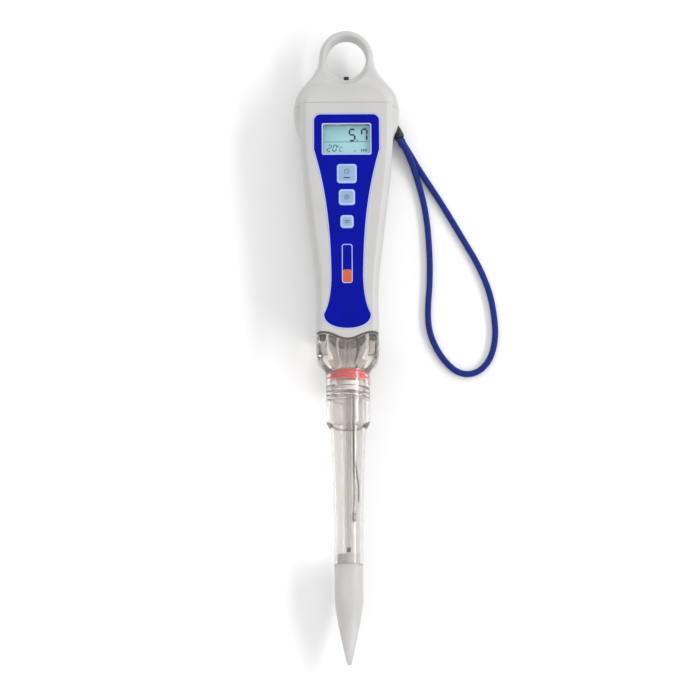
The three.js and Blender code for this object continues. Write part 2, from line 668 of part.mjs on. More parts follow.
// ---------- Circuit board ----------
function makeBoard() {
  const head = WINDOW_Y - WINDOW.height / 2 - 3;
  const top = WINDOW_Y + bezelSize()[1] / 2;
  const notchLow = Math.min(top - 0.5, SEAM - SPIGOT.length - 1.6 - CUT_GAP); // clears the mouth of the battery tube
  const shape = mirrored([
    new THREE.Vector2(BOARD.neckHalf, BOARD.bottom),
    new THREE.Vector2(BOARD.neckHalf, head - 20),
    new THREE.Vector2(BOARD.headHalf, head),
    new THREE.Vector2(BOARD.headHalf, top),
    new THREE.Vector2(BOARD.notchHalf, top),
    new THREE.Vector2(BOARD.notchHalf, notchLow),
  ]);
  for (const y of SCREW_YS) {
    shape.holes.push(new THREE.Path().absarc(0, y, SCREW.shankR + FIT, 0, Math.PI * 2));
  }
  const board = slab(shape, BOARD_BACK, BOARD_FRONT, null, 6);
  const made = group(part("main_board", board, "board"));

  SCREW_YS.forEach((y, i) => {
    const length = SCREW.headThick + REST + BOARD.thick + SCREW.grip;
    const profile = [
      [0, 0], [SCREW.headR, 0], [SCREW.headR, SCREW.headThick], [SCREW.shankR, SCREW.headThick],
      [SCREW.shankR, length - 0.6], [0, length],
    ];
    const screw = part("board_screw_" + (i + 1), lathe(profile, 0, 14), "steel");
    screw.rotation.x = Math.PI / 2;
    screw.position.set(0, y, BOARD_BACK - REST - SCREW.headThick);
    made.add(screw);
  });

  const chip = (name, x, y, width, height, thick, material = "black") => {
    const mesh = part(name, solid(new THREE.BoxGeometry(width, height, thick)), material);
    mesh.position.set(x, y, BOARD_FRONT + REST + thick / 2);
    return mesh;
  };
  const lowestKey = SEAM - KEYS[KEYS.length - 1].drop;
  made.add(chip("microcontroller", 0, lowestKey - CHIP_DROPS.controller, 7, 7, 1.2));
  made.add(chip("amplifier_chip", -5.2, lowestKey - CHIP_DROPS.amplifier, 3.9, 4.9, 1.3));
  const socket = solid(new THREE.BoxGeometry(8, 4.4, 3));
  const leadSocket = part("lead_connector", socket, "white");
  leadSocket.position.set(0, BOARD.bottom - 0.2, BOARD_BACK - REST - 1.5);
  made.add(leadSocket);
  return made;
}

// ---------- Battery ----------
function makeBattery() {
  const mouthTop = SEAM - LIP.depth - 0.6;
  const spigotEnd = SEAM - SPIGOT.length;
  const cellTop = spigotEnd - 2.2;
  const cellLow = cellTop - CELL.length;
  const floor = cellLow - CELL.nub - CONTACT_THICK - 3 * REST;
  const bore = CELL.r + TUBE_BORE_GAP;
  const mouthBore = MOUTH_R - MOUTH_WALL;
  const stepY = spigotEnd - 0.6;
  const tube = lathe(
    [
      [0, floor - TUBE_WALL], [TUBE_R, floor - TUBE_WALL], [TUBE_R, stepY - 1],
      [MOUTH_R, stepY], [MOUTH_R, mouthTop], [mouthBore, mouthTop],
      [mouthBore, stepY + 0.4], [bore, stepY], [bore, floor], [0, floor],
    ],
    BATTERY_Z,
  );
  const cell = lathe(
    [
      [0, cellLow - CELL.nub], [CELL.nubR, cellLow - CELL.nub], [CELL.nubR, cellLow],
      [CELL.r - 0.3, cellLow], [CELL.r, cellLow + 0.3], [CELL.r, cellTop - 0.3],
      [CELL.r - 0.3, cellTop], [0, cellTop],
    ],
    BATTERY_Z,
  );
  const contact = rod(3.4, floor + REST, floor + REST + CONTACT_THICK, BATTERY_Z, 16);
  const stripX = TUBE_R + REST;
  const strip = box([stripX, floor, BATTERY_Z - 1.5], [stripX + 0.3, stepY - 2, BATTERY_Z + 1.5]);
  return group(
    part("battery_tube", tube, "black"),
    part("battery_cell", cell, "cell"),
    part("positive_contact", contact, "gold"),
    part("negative_strip", strip, "gold"),
  );
}

// ---------- Battery cap with its ring, plug, seal, spring and latch ----------
// The cap's cross-section at a height above the seam.
function capSection(height, inset) {
  const t = THREE.MathUtils.clamp(height / CAP_RISE, 0, 1);
  const halfWidth = THREE.MathUtils.lerp(HEAD_HALF, 0.6 * HEAD_HALF, t ** 2.6);
  const ease = THREE.MathUtils.smoothstep(t, 0.02, 1);
  const halfDepth = THREE.MathUtils.lerp(AXIS_Z, RING_THICK / 2 + 0.4, ease);
  return section(SEAM + height, halfWidth, halfDepth, inset, 0.55 * t);
}

// The cap's rounded body, from the seam up, or with an inset, the hollow inside it.
function capForm(inset) {
  const steps = 8;
  const rings = [];
  for (let i = 0; i <= steps; i++) rings.push(capSection(REST + (i / steps) * CAP_RISE, inset));
  return loft(rings);
}

function makeCap() {
  const aboveSeam = box([-40, SEAM + REST, -5], [40, TOP + 5, CASE_DEPTH + 5]);
  const { neck } = earSide();
  const ringSide = [
    new THREE.Vector2(RING_OUT.x + 1.5, RING_Y - 10),
    ...neck.slice(4),
    ...new THREE.EllipseCurve(0, RING_Y, RING_OUT.x, RING_OUT.y, 0, Math.PI / 2).getPoints(12),
  ];
  const ringHalf = RING_THICK / 2;
  const ring = slab(mirrored(ringSide), AXIS_Z - ringHalf, AXIS_Z + ringHalf, { size: RING_EDGE, thick: 2.2 });
  const eye = eyeCutter();

  const liftCut = box([-40, SEAM - 5, -5], [40, TOP, CAP_BACK_LIFT]);
  const dome = add(capForm(0), earPlate()).subtract(liftCut);
  const pocketTop = SEAM + POCKET;
  const hollow = caseForm(SEAM - 2, SEAM + POCKET, CAP_WALL)
    .intersect(capFormHollow())
    .intersect(box([-40, SEAM - 2, 0], [40, pocketTop, CASE_DEPTH]));
  const channel = box(
    [-LATCH.width / 2 - 0.2, pocketTop - 1, LATCH_Z - LATCH.thick / 2 - 0.2],
    [LATCH.width / 2 + 0.2, RING_Y, LATCH_Z + LATCH.thick / 2 + 0.2],
  );
  const footTop = latchFootLow() + LATCH.foot + LATCH.travel + 0.3;
  const relief = box(
    [-LATCH.footWidth / 2 - CUT_GAP, SEAM + PLATE, LATCH_Z - LATCH.thick],
    [LATCH.footWidth / 2 + CUT_GAP, footTop, LATCH_LEG_Z + LATCH.legThick / 2 + 0.2],
  );
  const cap = add(dome, ring).intersect(aboveSeam).subtract(add(eye, hollow, channel, relief));

  return group(
    part("battery_cap", cap, "case"),
    part("cap_plug", plugSolid(), "black"),
    part("cap_seal", ringSeal(SPIGOT_R - 0.1 - CAP_SEAL_R + FIT * 0.4, CAP_SEAL_R, SEAM - 4.4, BATTERY_Z), "seal"),
    part("battery_spring", springGeometry(), "steel"),
    part("cap_latch", latchSolid(), "black"),
  );
}

// The ring's eye: an oval hole whose two edges are rounded over.
function eyeCutter() {
  const profile = [[0, AXIS_Z + 6], [1 + 6 / RING_HOLE.x, AXIS_Z + 6]];
  const flat = RING_THICK / 2 - RING_EDGE;
  for (const side of [1, -1]) {
    const arc = [];
    for (let k = 0; k <= 4; k++) {
      const angle = (k / 4) * (Math.PI / 2);
      arc.push([1 + (RING_EDGE * (1 - Math.cos(angle))) / RING_HOLE.x, side * (flat + RING_EDGE * Math.sin(angle))]);
    }
    profile.push(...(side > 0 ? arc.reverse() : arc));
  }
  profile.push([1 + 6 / RING_HOLE.x, -AXIS_Z - 6], [0, -AXIS_Z - 6]);
  const points = profile.map(([r, z]) => new THREE.Vector2(r, z));
  const geometry = new THREE.LatheGeometry([...points, points[0].clone()], 40);
  geometry.rotateX(Math.PI / 2);
  geometry.scale(RING_HOLE.x, RING_HOLE.y, 1);
  geometry.translate(0, RING_Y, AXIS_Z);
  return solid(geometry);
}

function capFormHollow() {
  const mouth = HEAD_HALF - CAP_WALL;
  return capForm(CAP_WALL).add(box([-mouth, SEAM - 3, CAP_WALL], [mouth, SEAM + 0.1, CASE_DEPTH - CAP_WALL]));
}

// A round sealing ring about the pen's axis or the battery's.
function ringSeal(r, sectionR, y, centreZ) {
  const geometry = new THREE.TorusGeometry(r, sectionR, 6, ROUND);
  geometry.rotateX(Math.PI / 2);
  geometry.translate(0, y, centreZ);
  return solid(geometry);
}

// The plug: a plate in the cap's mouth, a lip inside the case and a round spigot into the battery tube.
function plugSolid() {
  const plateLow = SEAM + 0.2;
  const half = CASE_DEPTH / 2;
  const plate = loft([0.2, 0.2 + PLATE / 2, 0.2 + PLATE].map((height) => capSection(height, PLUG_INSET)));
  const lip = loft([
    section(SEAM - LIP.depth, HEAD_HALF, half, PLUG_INSET),
    section(plateLow + 0.1, HEAD_HALF, half, PLUG_INSET),
  ]).subtract(
    loft([
      section(SEAM - LIP.depth - 1, HEAD_HALF, half, PLUG_INSET + LIP.wall),
      section(plateLow, HEAD_HALF, half, PLUG_INSET + LIP.wall),
    ]),
  );
  const grooveY = SEAM - 4.4;
  const grooveHalf = CAP_SEAL_R + 0.2;
  const floorR = SPIGOT_R - 2 * CAP_SEAL_R - 0.15;
  const spigotEnd = SEAM - SPIGOT.length;
  const spigot = lathe(
    [
      [0, plateLow + 0.2], [0, spigotEnd + SPIGOT.recess], [SPIGOT.recessR, spigotEnd + SPIGOT.recess],
      [SPIGOT.recessR, spigotEnd], [SPIGOT_R - 0.4, spigotEnd], [SPIGOT_R, spigotEnd + 0.4],
      [SPIGOT_R, grooveY - grooveHalf], [floorR, grooveY - grooveHalf], [floorR, grooveY + grooveHalf],
      [SPIGOT_R, grooveY + grooveHalf], [SPIGOT_R, plateLow + 0.2],
    ],
    BATTERY_Z,
  );
  const legHole = box(
    [-LATCH.width / 2 - CUT_GAP, SEAM - 5, LATCH_LEG_Z - LATCH.legThick / 2 - CUT_GAP],
    [LATCH.width / 2 + CUT_GAP, SEAM + 5, LATCH_LEG_Z + LATCH.legThick / 2 + CUT_GAP],
  );
  return add(plate, lip, spigot).subtract(legHole);
}

// The latch's foot rests on the plug's plate.
function latchFootLow() {
  return SEAM + 0.2 + PLATE + 0.2;
}

// The slider that locks the cap: a thumb tip in the ring's hole, a foot in the pocket and a leg into the case.
function latchSolid() {
  const halfWidth = LATCH.width / 2;
  const footLow = latchFootLow();
  const rim = RING_Y - RING_HOLE.y;
  const tipTop = rim + LATCH.stand;
  const tipShape = roundedRect(LATCH.width, tipTop - footLow, 0.4, 0, (tipTop + footLow) / 2);
  const tip = slab(tipShape, LATCH_Z - LATCH.thick / 2, LATCH_Z + LATCH.thick / 2, null, 2);
  const foot = box(
    [-LATCH.footWidth / 2, footLow, LATCH_Z - LATCH.thick / 2],
    [LATCH.footWidth / 2, footLow + LATCH.foot, LATCH_LEG_Z + LATCH.legThick / 2],
  );
  const leg = box(
    [-halfWidth, SEAM - LATCH.leg, LATCH_LEG_Z - LATCH.legThick / 2],
    [halfWidth, footLow + 0.2, LATCH_LEG_Z + LATCH.legThick / 2],
  );
  return add(tip, foot, leg);
}

// The coil spring under the plug, which presses on the cell.
function springGeometry() {
  const top = SEAM - SPIGOT.length + SPIGOT.recess - SPRING.wire / 2 - REST;
  const low = SEAM - SPIGOT.length - 2.2 + SPRING.wire / 2 + FIT;
  const centre = [0, (top + low) / 2, BATTERY_Z];
  const helix = new Helix(SPRING.r, (top - low) / SPRING.turns, SPRING.turns, centre);
  return bar(helix, SPRING.wire / 2, SPRING.turns * 14, 6);
}

// ---------- Clear housing ----------
function makeHousing() {
  const half = CASE_DEPTH / 2;
  const spigotInset = WALL + FIT;
  const innerInset = spigotInset + HOUSING_WALL;
  const taperSteps = 6;
  const outerRings = [circle(HOUSING_END, COLLAR_R - COLLAR_CHAMFER.drop), circle(COLLAR_END, COLLAR_R), circle(COLLAR_TOP, COLLAR_R)];
  const innerRings = [circle(HEAD_TOP - 0.5, BORE_R - 0.6)];
  for (let i = 1; i <= taperSteps; i++) {
    const t = i / taperSteps;
    const ease = Math.sin((THREE.MathUtils.smoothstep(t, 0, 1) * Math.PI) / 2);
    const width = THREE.MathUtils.lerp(COLLAR_R, caseHalf(0), ease);
    const depth = THREE.MathUtils.lerp(COLLAR_R, half, ease);
    const y = COLLAR_TOP + t * TAPER;
    outerRings.push(section(y, width, depth, 0, 1 - ease));
    if (y > HEAD_TOP) innerRings.push(section(y + 0.8, width, depth, innerInset - 0.4, (1 - ease) ** 2));
  }
  outerRings.push(section(GASKET + 2, caseHalf(0), half));
  innerRings.push(section(0, caseHalf(0), half, innerInset), section(HOUSING_SPIGOT + 1, WAIST_HALF, half, innerInset));
  const skirt = loft(outerRings).subtract(waveBlock(-GASKET - 2 * REST, true));
  const spigotRings = [];
  for (const y of [-WAVE_DEPTH - 2.5, 2, 5, 7.5, HOUSING_SPIGOT]) {
    spigotRings.push(section(y, Math.min(caseHalf(y), caseHalf(y - 0.5)), half, spigotInset));
  }
  const spigot = loft(spigotRings);
  const bore = rod(BORE_R, HOUSING_END - 1, HEAD_TOP + FIT);
  const threadCut = threadSolid(THREAD.height + FIT, 1);
  const housing = add(skirt, spigot).subtract(loft(innerRings)).subtract(bore).subtract(threadCut);

  const gasketOuter = loft([section(-6, caseHalf(0), half, 0.25), section(3, caseHalf(0), half, 0.25)]);
  const gasketInner = loft([section(-7, caseHalf(0), half, spigotInset - FIT), section(4, caseHalf(0), half, spigotInset - FIT)]);
  const gasket = gasketOuter
    .subtract(gasketInner)
    .subtract(waveBlock(-REST, true))
    .subtract(waveBlock(-GASKET - REST, false));
  return group(part("probe_housing", housing, "clear"), part("housing_gasket", gasket, "seal"));
}

// ---------- Probe ----------
// The screw thread, or the groove for it, which runs on by some steps at each end.
function threadSolid(height, extraSteps = 0) {
  const perTurn = 16;
  const steps = THREAD.turns * perTurn + 2 * extraSteps;
  const middle = HEAD_TOP - THREAD.drop - (THREAD.pitch * THREAD.turns) / 2;
  const helix = new Helix(PROBE_R, THREAD.pitch, steps / perTurn, [0, middle, AXIS_Z]);
  return solid(bar(helix, height, steps, 4));
}

// Outer radius of the probe's body at height y.
function bodyRadius(y) {
  const t = THREE.MathUtils.clamp((HOUSING_END - y) / BODY_TAPER, 0, 1);
  return THREE.MathUtils.lerp(BODY_ROOT_R, BODY_END_R, Math.sin((t * Math.PI) / 2) ** 0.9);
}

function makeProbe() {
  const grooveFloor = PROBE_R - 2 * SEAL_SECTION - 0.05;
  const outside = [[PROBE_BORE, HEAD_TOP], [PROBE_R, HEAD_TOP]];
  for (const drop of SEAL_DROPS) {
    const y = HEAD_TOP - drop;
    const half = SEAL_SECTION + FIT;
    outside.push([PROBE_R, y + half], [grooveFloor, y + half], [grooveFloor, y - half], [PROBE_R, y - half]);
  }
  outside.push([PROBE_R, COLLAR_END + 1.5], [BODY_ROOT_R, COLLAR_END + 0.5]);
  const inside = [];
  const steps = 7;
  for (let i = 0; i <= steps; i++) {
    const y = THREE.MathUtils.lerp(HOUSING_END, TIP_JOINT, i / steps);
    outside.push([bodyRadius(y), y]);
    inside.unshift([bodyRadius(y) - PROBE_WALL, y]);
  }
  const shoulder = HEAD_TOP - STOPPER.drop - STOPPER.thick - 1;
  inside.push([BODY_ROOT_R - PROBE_WALL, shoulder - 1.2], [PROBE_BORE, shoulder]);
  const body = lathe([...outside, ...inside]).add(threadSolid(THREAD.height)).subtract(rod(PROBE_BORE, shoulder - 0.5, HEAD_TOP + 1));

  const sealR = grooveFloor + SEAL_SECTION + REST;
  const seals = SEAL_DROPS.map((drop, i) =>
    part("probe_seal_" + ["upper", "lower"][i], ringSeal(sealR, SEAL_SECTION, HEAD_TOP - drop, AXIS_Z), "red"),
  );

  const coneTop = TIP_JOINT - TIP.straight;
  const cone = new THREE.CubicBezierCurve(
    new THREE.Vector2(TIP_R, coneTop),
    new THREE.Vector2(TIP_R - 0.5, coneTop - 0.28 * TIP.cone),
    new THREE.Vector2(0.45 * TIP_R, coneTop - 0.7 * TIP.cone),
    new THREE.Vector2(TIP.nose, TIP_END + 0.35),
  ).getPoints(8).map((p) => [p.x, p.y]);
  const tipSpigot = BODY_END_R - PROBE_WALL - FIT;
  const tip = lathe([
    [0, TIP_JOINT - REST + TIP.spigot], [tipSpigot, TIP_JOINT - REST + TIP.spigot], [tipSpigot, TIP_JOINT - REST],
    [TIP_R, TIP_JOINT - REST], ...cone, [0.45 * TIP.nose, TIP_END], [0, TIP_END],
  ]);

  const stemLow = TIP_JOINT + TIP.spigot + PELLET + 1;
  const stemHigh = HEAD_TOP + STEM.above;
  const stem = lathe(
    [[STEM.r - STEM.wall, stemLow], [STEM.r, stemLow], [STEM.r, stemHigh], [STEM.r - STEM.wall, stemHigh]],
    AXIS_Z,
    14,
  );
  const pellet = part("sensing_pellet", solid(new THREE.BoxGeometry(PELLET, PELLET, PELLET)), "silver");
  pellet.position.set(0, stemLow - PELLET / 2 - REST, AXIS_Z);

  const wire = curveThrough([
    [REFERENCE.x, HEAD_TOP + 2, AXIS_Z], [REFERENCE.x, -30, AXIS_Z], [REFERENCE.x - 0.05, -50, AXIS_Z + 0.3],
    [REFERENCE.x + 0.2, -60, AXIS_Z + 0.5], [REFERENCE.x, REFERENCE.bottom, AXIS_Z + 0.6],
  ]);
  const pelletShape = new THREE.CapsuleGeometry(REFERENCE.pelletR, REFERENCE.pellet - 2 * REFERENCE.pelletR, 3, 10);
  const referencePellet = part("reference_pellet", solid(pelletShape), "silver");
  referencePellet.position.set(REFERENCE.x, REFERENCE.bottom - REFERENCE.pellet / 2 - REST, AXIS_Z + 0.7);
  const thermalZ = AXIS_Z + THERMAL.lift;
  const thermal = curveThrough([
    [REFERENCE.x, HEAD_TOP + 2, thermalZ], [REFERENCE.x, -40, thermalZ], [REFERENCE.x + 0.2, -47, thermalZ],
    [3.2, -54, AXIS_Z + 1.2], [3.9, -59, AXIS_Z + 0.6], [3.9, THERMAL.bottom, AXIS_Z + 0.4],
  ]);

  const stopperTop = HEAD_TOP - STOPPER.drop;
  const holes = [rod(STEM.r + CUT_GAP, stopperTop - 5, stopperTop + 1, AXIS_Z, 14)];
  for (const [z, r] of [[AXIS_Z, REFERENCE.r], [thermalZ, THERMAL.r]]) {
    const hole = new THREE.CylinderGeometry(r + CUT_GAP, r + CUT_GAP, 2 * STOPPER.thick, 10);
    hole.translate(REFERENCE.x, stopperTop - STOPPER.thick / 2, z);
    holes.push(solid(hole));
  }
  const stopper = rod(PROBE_BORE - FIT, stopperTop - STOPPER.thick, stopperTop).subtract(add(...holes));

  const leadTop = BOARD.bottom - 2.6;
  const lead = (side) =>
    curveThrough([
      [side * 2, leadTop, BOARD_BACK - 1.5], [side * 2.2, leadTop - 3, BOARD_BACK - 1.7],
      [side * LEAD_X, 2, AXIS_Z + 2.5], [side * LEAD_X, -6, AXIS_Z + 1.5], [side * 3.6, HEAD_TOP + 2.5, AXIS_Z + 1],
      [side * 3.3, HEAD_TOP - 2, AXIS_Z + 1],
    ]);
  return group(
    part("probe_body", body, "clear"),
    ...seals,
    part("spear_tip", tip, "frosted"),
    part("inner_stem", stem, "clear"),
    pellet,
    part("reference_wire", bar(wire, REFERENCE.r, 24, 6), "silver"),
    referencePellet,
    part("thermal_wire", bar(thermal, THERMAL.r, 26, 6), "silver"),
    part("probe_stopper", stopper, "white"),
    part("signal_lead", bar(lead(1), LEAD_R, 24, 6), "black"),
    part("reference_lead", bar(lead(-1), LEAD_R, 24, 6), "white"),
  );
}

// ---------- Lanyard ----------
// The cord's route on the surface, in the part's own frame: out of the bead, round the loop and back.
const CORD_ROUTE = [
  [25.0, 79.0, 1.3], [28.9, 72.0, 1.27], [33.8, 64.0, 1.27], [38.3, 56.6, 1.27], [42.7, 48.9, 1.27],
  [47.0, 41.2, 1.27], [51.0, 34.0, 1.27], [54.3, 26.6, 1.27], [56.6, 19.4, 1.27], [57.9, 11.6, 1.27],
  [58.3, 4.4, 1.27], [57.4, -2.0, 1.27], [55.2, -7.2, 1.27], [51.6, -10.8, 1.27], [47.2, -12.1, 1.27],
  [42.8, -10.9, 1.27], [38.8, -7.4, 1.27], [35.3, -2.2, 1.27], [32.8, 3.9, 1.27], [31.9, 9.9, 1.27],
  [32.0, 16.4, 1.27], [32.6, 24.2, 1.27], [32.8, 33.0, 1.27], [32.5, 42.0, 1.27], [31.8, 50.5, 1.27],
  [30.5, 58.6, 1.3], [28.4, 66.8, 1.75], [26.0, 74.0, 3.1], [23.2, 80.4, 3.7],
];

function makeLanyard() {
  const down = new THREE.Vector2(Math.sin(BEAD_TURN), -Math.cos(BEAD_TURN));
  const side = new THREE.Vector2(Math.cos(BEAD_TURN), Math.sin(BEAD_TURN));
  const strandEnd = (offset, z, along) => {
    const p = new THREE.Vector2(...BEAD_MOUTH).addScaledVector(side, offset).addScaledVector(down, along);
    return [p.x, p.y, z];
  };
  const [lowZ, highZ] = STRAND_Z;
  const route = [
    strandEnd(STRAND_OFFSET, lowZ, CUT_GAP), strandEnd(STRAND_OFFSET, lowZ, 3), ...CORD_ROUTE,
    strandEnd(-STRAND_OFFSET, highZ, 3), strandEnd(-STRAND_OFFSET, highZ, CUT_GAP),
  ];
  const cord = part("lanyard_cord", bar(curveThrough(route), CORD_R, 62, 8), "cord");

  // The bead is lofted along its own length and then turned onto the strands' direction.
  const rings = [];
  for (const [t, grow] of [[0, 0.92], [0.12, 1], [0.7, 0.95], [1, BEAD.taper]]) {
    const ring = [];
    for (let k = 0; k < 16; k++) {
      const angle = (k / 16) * Math.PI * 2;
      const pinch = (value) => Math.sign(value) * Math.abs(value) ** 0.8;
      const x = (BEAD.width / 2) * grow * pinch(Math.cos(angle));
      const z = (BEAD.height / 2) * grow * pinch(Math.sin(angle));
      ring.push(new THREE.Vector3(x, t * BEAD.length, z));
    }
    rings.push(ring);
  }
  const bead = part("lanyard_bead", loft(rings), "black");
  bead.position.set(...BEAD_MOUTH, BEAD.z);
  bead.rotation.z = BEAD_TURN;

  const top = strandEnd(0, BEAD.z, -BEAD.length - CUT_GAP - 0.2);
  const hole = tabHole();
  const holeY = hole.y - CENTRE_Y;
  const string = curveThrough([
    [top[0] - 0.1, top[1], BEAD.z - 0.8], [hole.x - 0.3, holeY - 1.9, TAB.backZ - 0.85], [hole.x, holeY - 0.6, TAB.backZ - 0.8],
    [hole.x, holeY, TAB.backZ + 0.3], [hole.x, holeY, TAB.frontZ - 0.3], [hole.x, holeY - 0.6, TAB.frontZ + 0.75],
    [hole.x - 0.2, holeY - 1.9, TAB.frontZ + 0.55], [top[0] + 0.1, top[1], BEAD.z + 0.8],
  ]);
  return group(cord, bead, part("lanyard_string", bar(string, STRING_R, 22, 6), "black"));
}

// ---------- Assembly ----------
const pen = new THREE.Group();
pen.add(makeCase(), makeFace(), makeKeys(), makeBoard(), makeBattery(), makeCap(), makeHousing(), makeProbe());
pen.position.y = -CENTRE_Y;

const meter = new THREE.Group();
meter.add(pen, makeLanyard());

export default meter;
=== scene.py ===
# %% [markdown]
# A soil pH meter of the pen kind lies on its back: a grip with a display and three keys, a cap with a
# hanging ring and a wrist cord, and a clear probe that ends in a spear tip. The frame says where each piece
# is and which body it moves with. Every visible skin is made here, in millimetres, and scaled once at the end.

# %% Load the frame
import json
import math

import bmesh
import bpy
from mathutils import Matrix, Vector
from mathutils.geometry import interpolate_bezier


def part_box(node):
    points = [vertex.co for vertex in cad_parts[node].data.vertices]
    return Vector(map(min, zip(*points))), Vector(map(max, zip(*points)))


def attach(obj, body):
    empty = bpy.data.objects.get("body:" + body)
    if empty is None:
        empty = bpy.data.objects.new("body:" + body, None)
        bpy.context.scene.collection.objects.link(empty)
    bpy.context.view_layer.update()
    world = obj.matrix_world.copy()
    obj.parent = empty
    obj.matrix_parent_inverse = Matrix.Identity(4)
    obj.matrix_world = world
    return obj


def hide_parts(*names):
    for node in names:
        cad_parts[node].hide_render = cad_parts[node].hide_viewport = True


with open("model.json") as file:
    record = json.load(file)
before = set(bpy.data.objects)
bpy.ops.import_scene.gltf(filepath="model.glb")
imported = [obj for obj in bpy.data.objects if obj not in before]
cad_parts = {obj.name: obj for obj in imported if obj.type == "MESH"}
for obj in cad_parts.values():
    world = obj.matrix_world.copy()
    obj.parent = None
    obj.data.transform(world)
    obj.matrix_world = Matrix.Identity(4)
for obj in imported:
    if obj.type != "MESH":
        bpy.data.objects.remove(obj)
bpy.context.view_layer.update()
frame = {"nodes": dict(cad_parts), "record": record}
MM = 0.001


def box_mm(node):
    """Lowest and highest corner of a CAD node, in millimetres."""
    return [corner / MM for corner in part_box(node)]


def linked(name, data):
    """A new object in the scene."""
    made = bpy.data.objects.new(name, data)
    bpy.context.scene.collection.objects.link(made)
    return made


# %% [markdown]
# The camera stands far away with a long lens, square over the pen and a little towards its tip, so round
# rings bow upwards. A small roll follows the way the pen lies.

# %% Camera
AIM = Vector((0.9, -4.3, 11.0)) * MM
CAMERA_TILT = math.radians(12.5)
CAMERA_DISTANCE = 0.910
CAMERA_ROLL = math.radians(-0.31)

camera = linked("camera", bpy.data.cameras.new("camera"))
camera.data.lens = 120
camera.data.sensor_width = 36
turned = Matrix.Rotation(CAMERA_ROLL, 3, "Z") @ Matrix.Rotation(CAMERA_TILT, 3, "X")
camera.rotation_euler = turned.to_euler()
camera.location = AIM + turned @ Vector((0, 0, CAMERA_DISTANCE))
bpy.context.scene.camera = camera
bpy.context.scene.view_settings.view_transform = "Standard"

# %% [markdown]
# Finishes are node trees. A small class wraps a node's output so that sums and products read as sums and
# products, and one method adds any other node. Only colour, roughness and bump vary over a surface.


# %% Shader helpers
class Signal:
    """One output of a shader node. Arithmetic on it adds Math nodes."""

    def __init__(self, finish, socket):
        self.finish, self.socket = finish, socket

    def maths(self, operation, first, second):
        return self.finish.node("ShaderNodeMath", {"operation": operation}, {0: first, 1: second})

    def __add__(self, other):
        return self.maths("ADD", self, other)

    def __mul__(self, other):
        return self.maths("MULTIPLY", self, other)

    def __sub__(self, other):
        return self.maths("SUBTRACT", self, other)

    def __rsub__(self, other):
        return self.maths("SUBTRACT", other, self)

    __radd__, __rmul__ = __add__, __mul__


class Finish:
    """A material on its way: one Principled shader and the nodes that feed it."""

    def __init__(self, name, colour, roughness, **uniform):
        self.material = bpy.data.materials.new(name)
        self.material.use_nodes = True
        self.tree = self.material.node_tree
        self.shader = self.tree.nodes["Principled BSDF"]
        self.feed("Base Color", (*colour, 1))
        self.feed("Roughness", roughness)
        for socket, value in uniform.items():
            self.feed(socket.replace("_", " "), value)
        self.place = self.node("ShaderNodeTexCoord", output="Object")

    def feed(self, socket, value, node=None):
        socket = (node or self.shader).inputs[socket]
        if isinstance(value, Signal):
            self.tree.links.new(value.socket, socket)
        else:
            socket.default_value = value

    def node(self, kind, settings=None, inputs=None, output=0):
        made = self.tree.nodes.new(kind)
        for key, value in (settings or {}).items():
            if key == "stops":
                for stop, (position, colour) in zip(made.color_ramp.elements, value):
                    stop.position, stop.color = position, colour
            else:
                setattr(made, key, value)
        for key, value in (inputs or {}).items():
            self.feed(key, value, made)
        return Signal(self, made.outputs[output])

    def noise(self, scale, detail=3.0, stretch=(1, 1, 1)):
        """Noise from 0 to 1. Scale counts blobs in a metre."""
        seen = self.node("ShaderNodeMapping", None, {"Vector": self.place, "Scale": stretch})
        return self.node("ShaderNodeTexNoise", None, {"Vector": seen, "Scale": scale, "Detail": detail})

    def ramp(self, signal, low, high):
        """0 where the signal is under low, 1 where it is over high."""
        inputs = {"Value": signal, "From Min": low, "From Max": high}
        return self.node("ShaderNodeMapRange", {"interpolation_type": "SMOOTHSTEP"}, inputs)

    def blend(self, factor, first, second):
        """From the first colour to the second."""
        mixed = self.node("ShaderNodeMix", {"data_type": "RGBA"}, None, 2)
        mix = mixed.socket.node
        for index, value in ((0, factor), (6, first), (7, second)):
            self.feed(index, value if isinstance(value, Signal) or index == 0 else (*value, 1), mix)
        return mixed

    def bump(self, height, distance, strength=1.0):
        """Relief of so many metres."""
        inputs = {"Height": height, "Distance": distance, "Strength": strength}
        self.feed("Normal", self.node("ShaderNodeBump", None, inputs))


# %% [markdown]
# Moulded plastic is never quite even. A fine spark-eroded grain breaks up its gloss, and broad soft patches
# change its tone a little, as handling does. The same recipe, with other grain, serves rubber and film.


# %% Plastics, rubber and metal
def tint(colour, factor):
    return tuple(min(channel * factor, 1) for channel in colour)


def moulded(name, colour, roughness, grain=9000, relief=6e-6, patches=0.05, **uniform):
    finish = Finish(name, colour, roughness, **uniform)
    tone = finish.ramp(finish.noise(90, 4), 0.3, 0.7)
    finish.feed("Base Color", finish.blend(tone, tint(colour, 1 - patches), tint(colour, 1 + patches)))
    fine = finish.noise(grain, 2)
    finish.feed("Roughness", fine * 0.16 + tone * 0.05 + (roughness - 0.1))
    finish.bump(fine, relief)
    return finish.material


def metal(name, colour, roughness, lines=(1, 1, 1)):
    finish = Finish(name, colour, roughness, Metallic=1.0)
    drawn = finish.noise(5000, 3, lines)
    stain = finish.ramp(finish.noise(400, 4), 0.35, 0.75)
    finish.feed("Base Color", finish.blend(stain, tint(colour, 0.8), colour))
    finish.feed("Roughness", drawn * 0.2 + stain * -0.08 + roughness)
    finish.bump(drawn, 4e-6)
    return finish.material


CASE_GREY = (0.52, 0.515, 0.505)
FILM_BLUE = (0.0015, 0.005, 0.30)
PALE_LILAC = (0.50, 0.55, 0.84)
INK = (0.006, 0.02, 0.11)

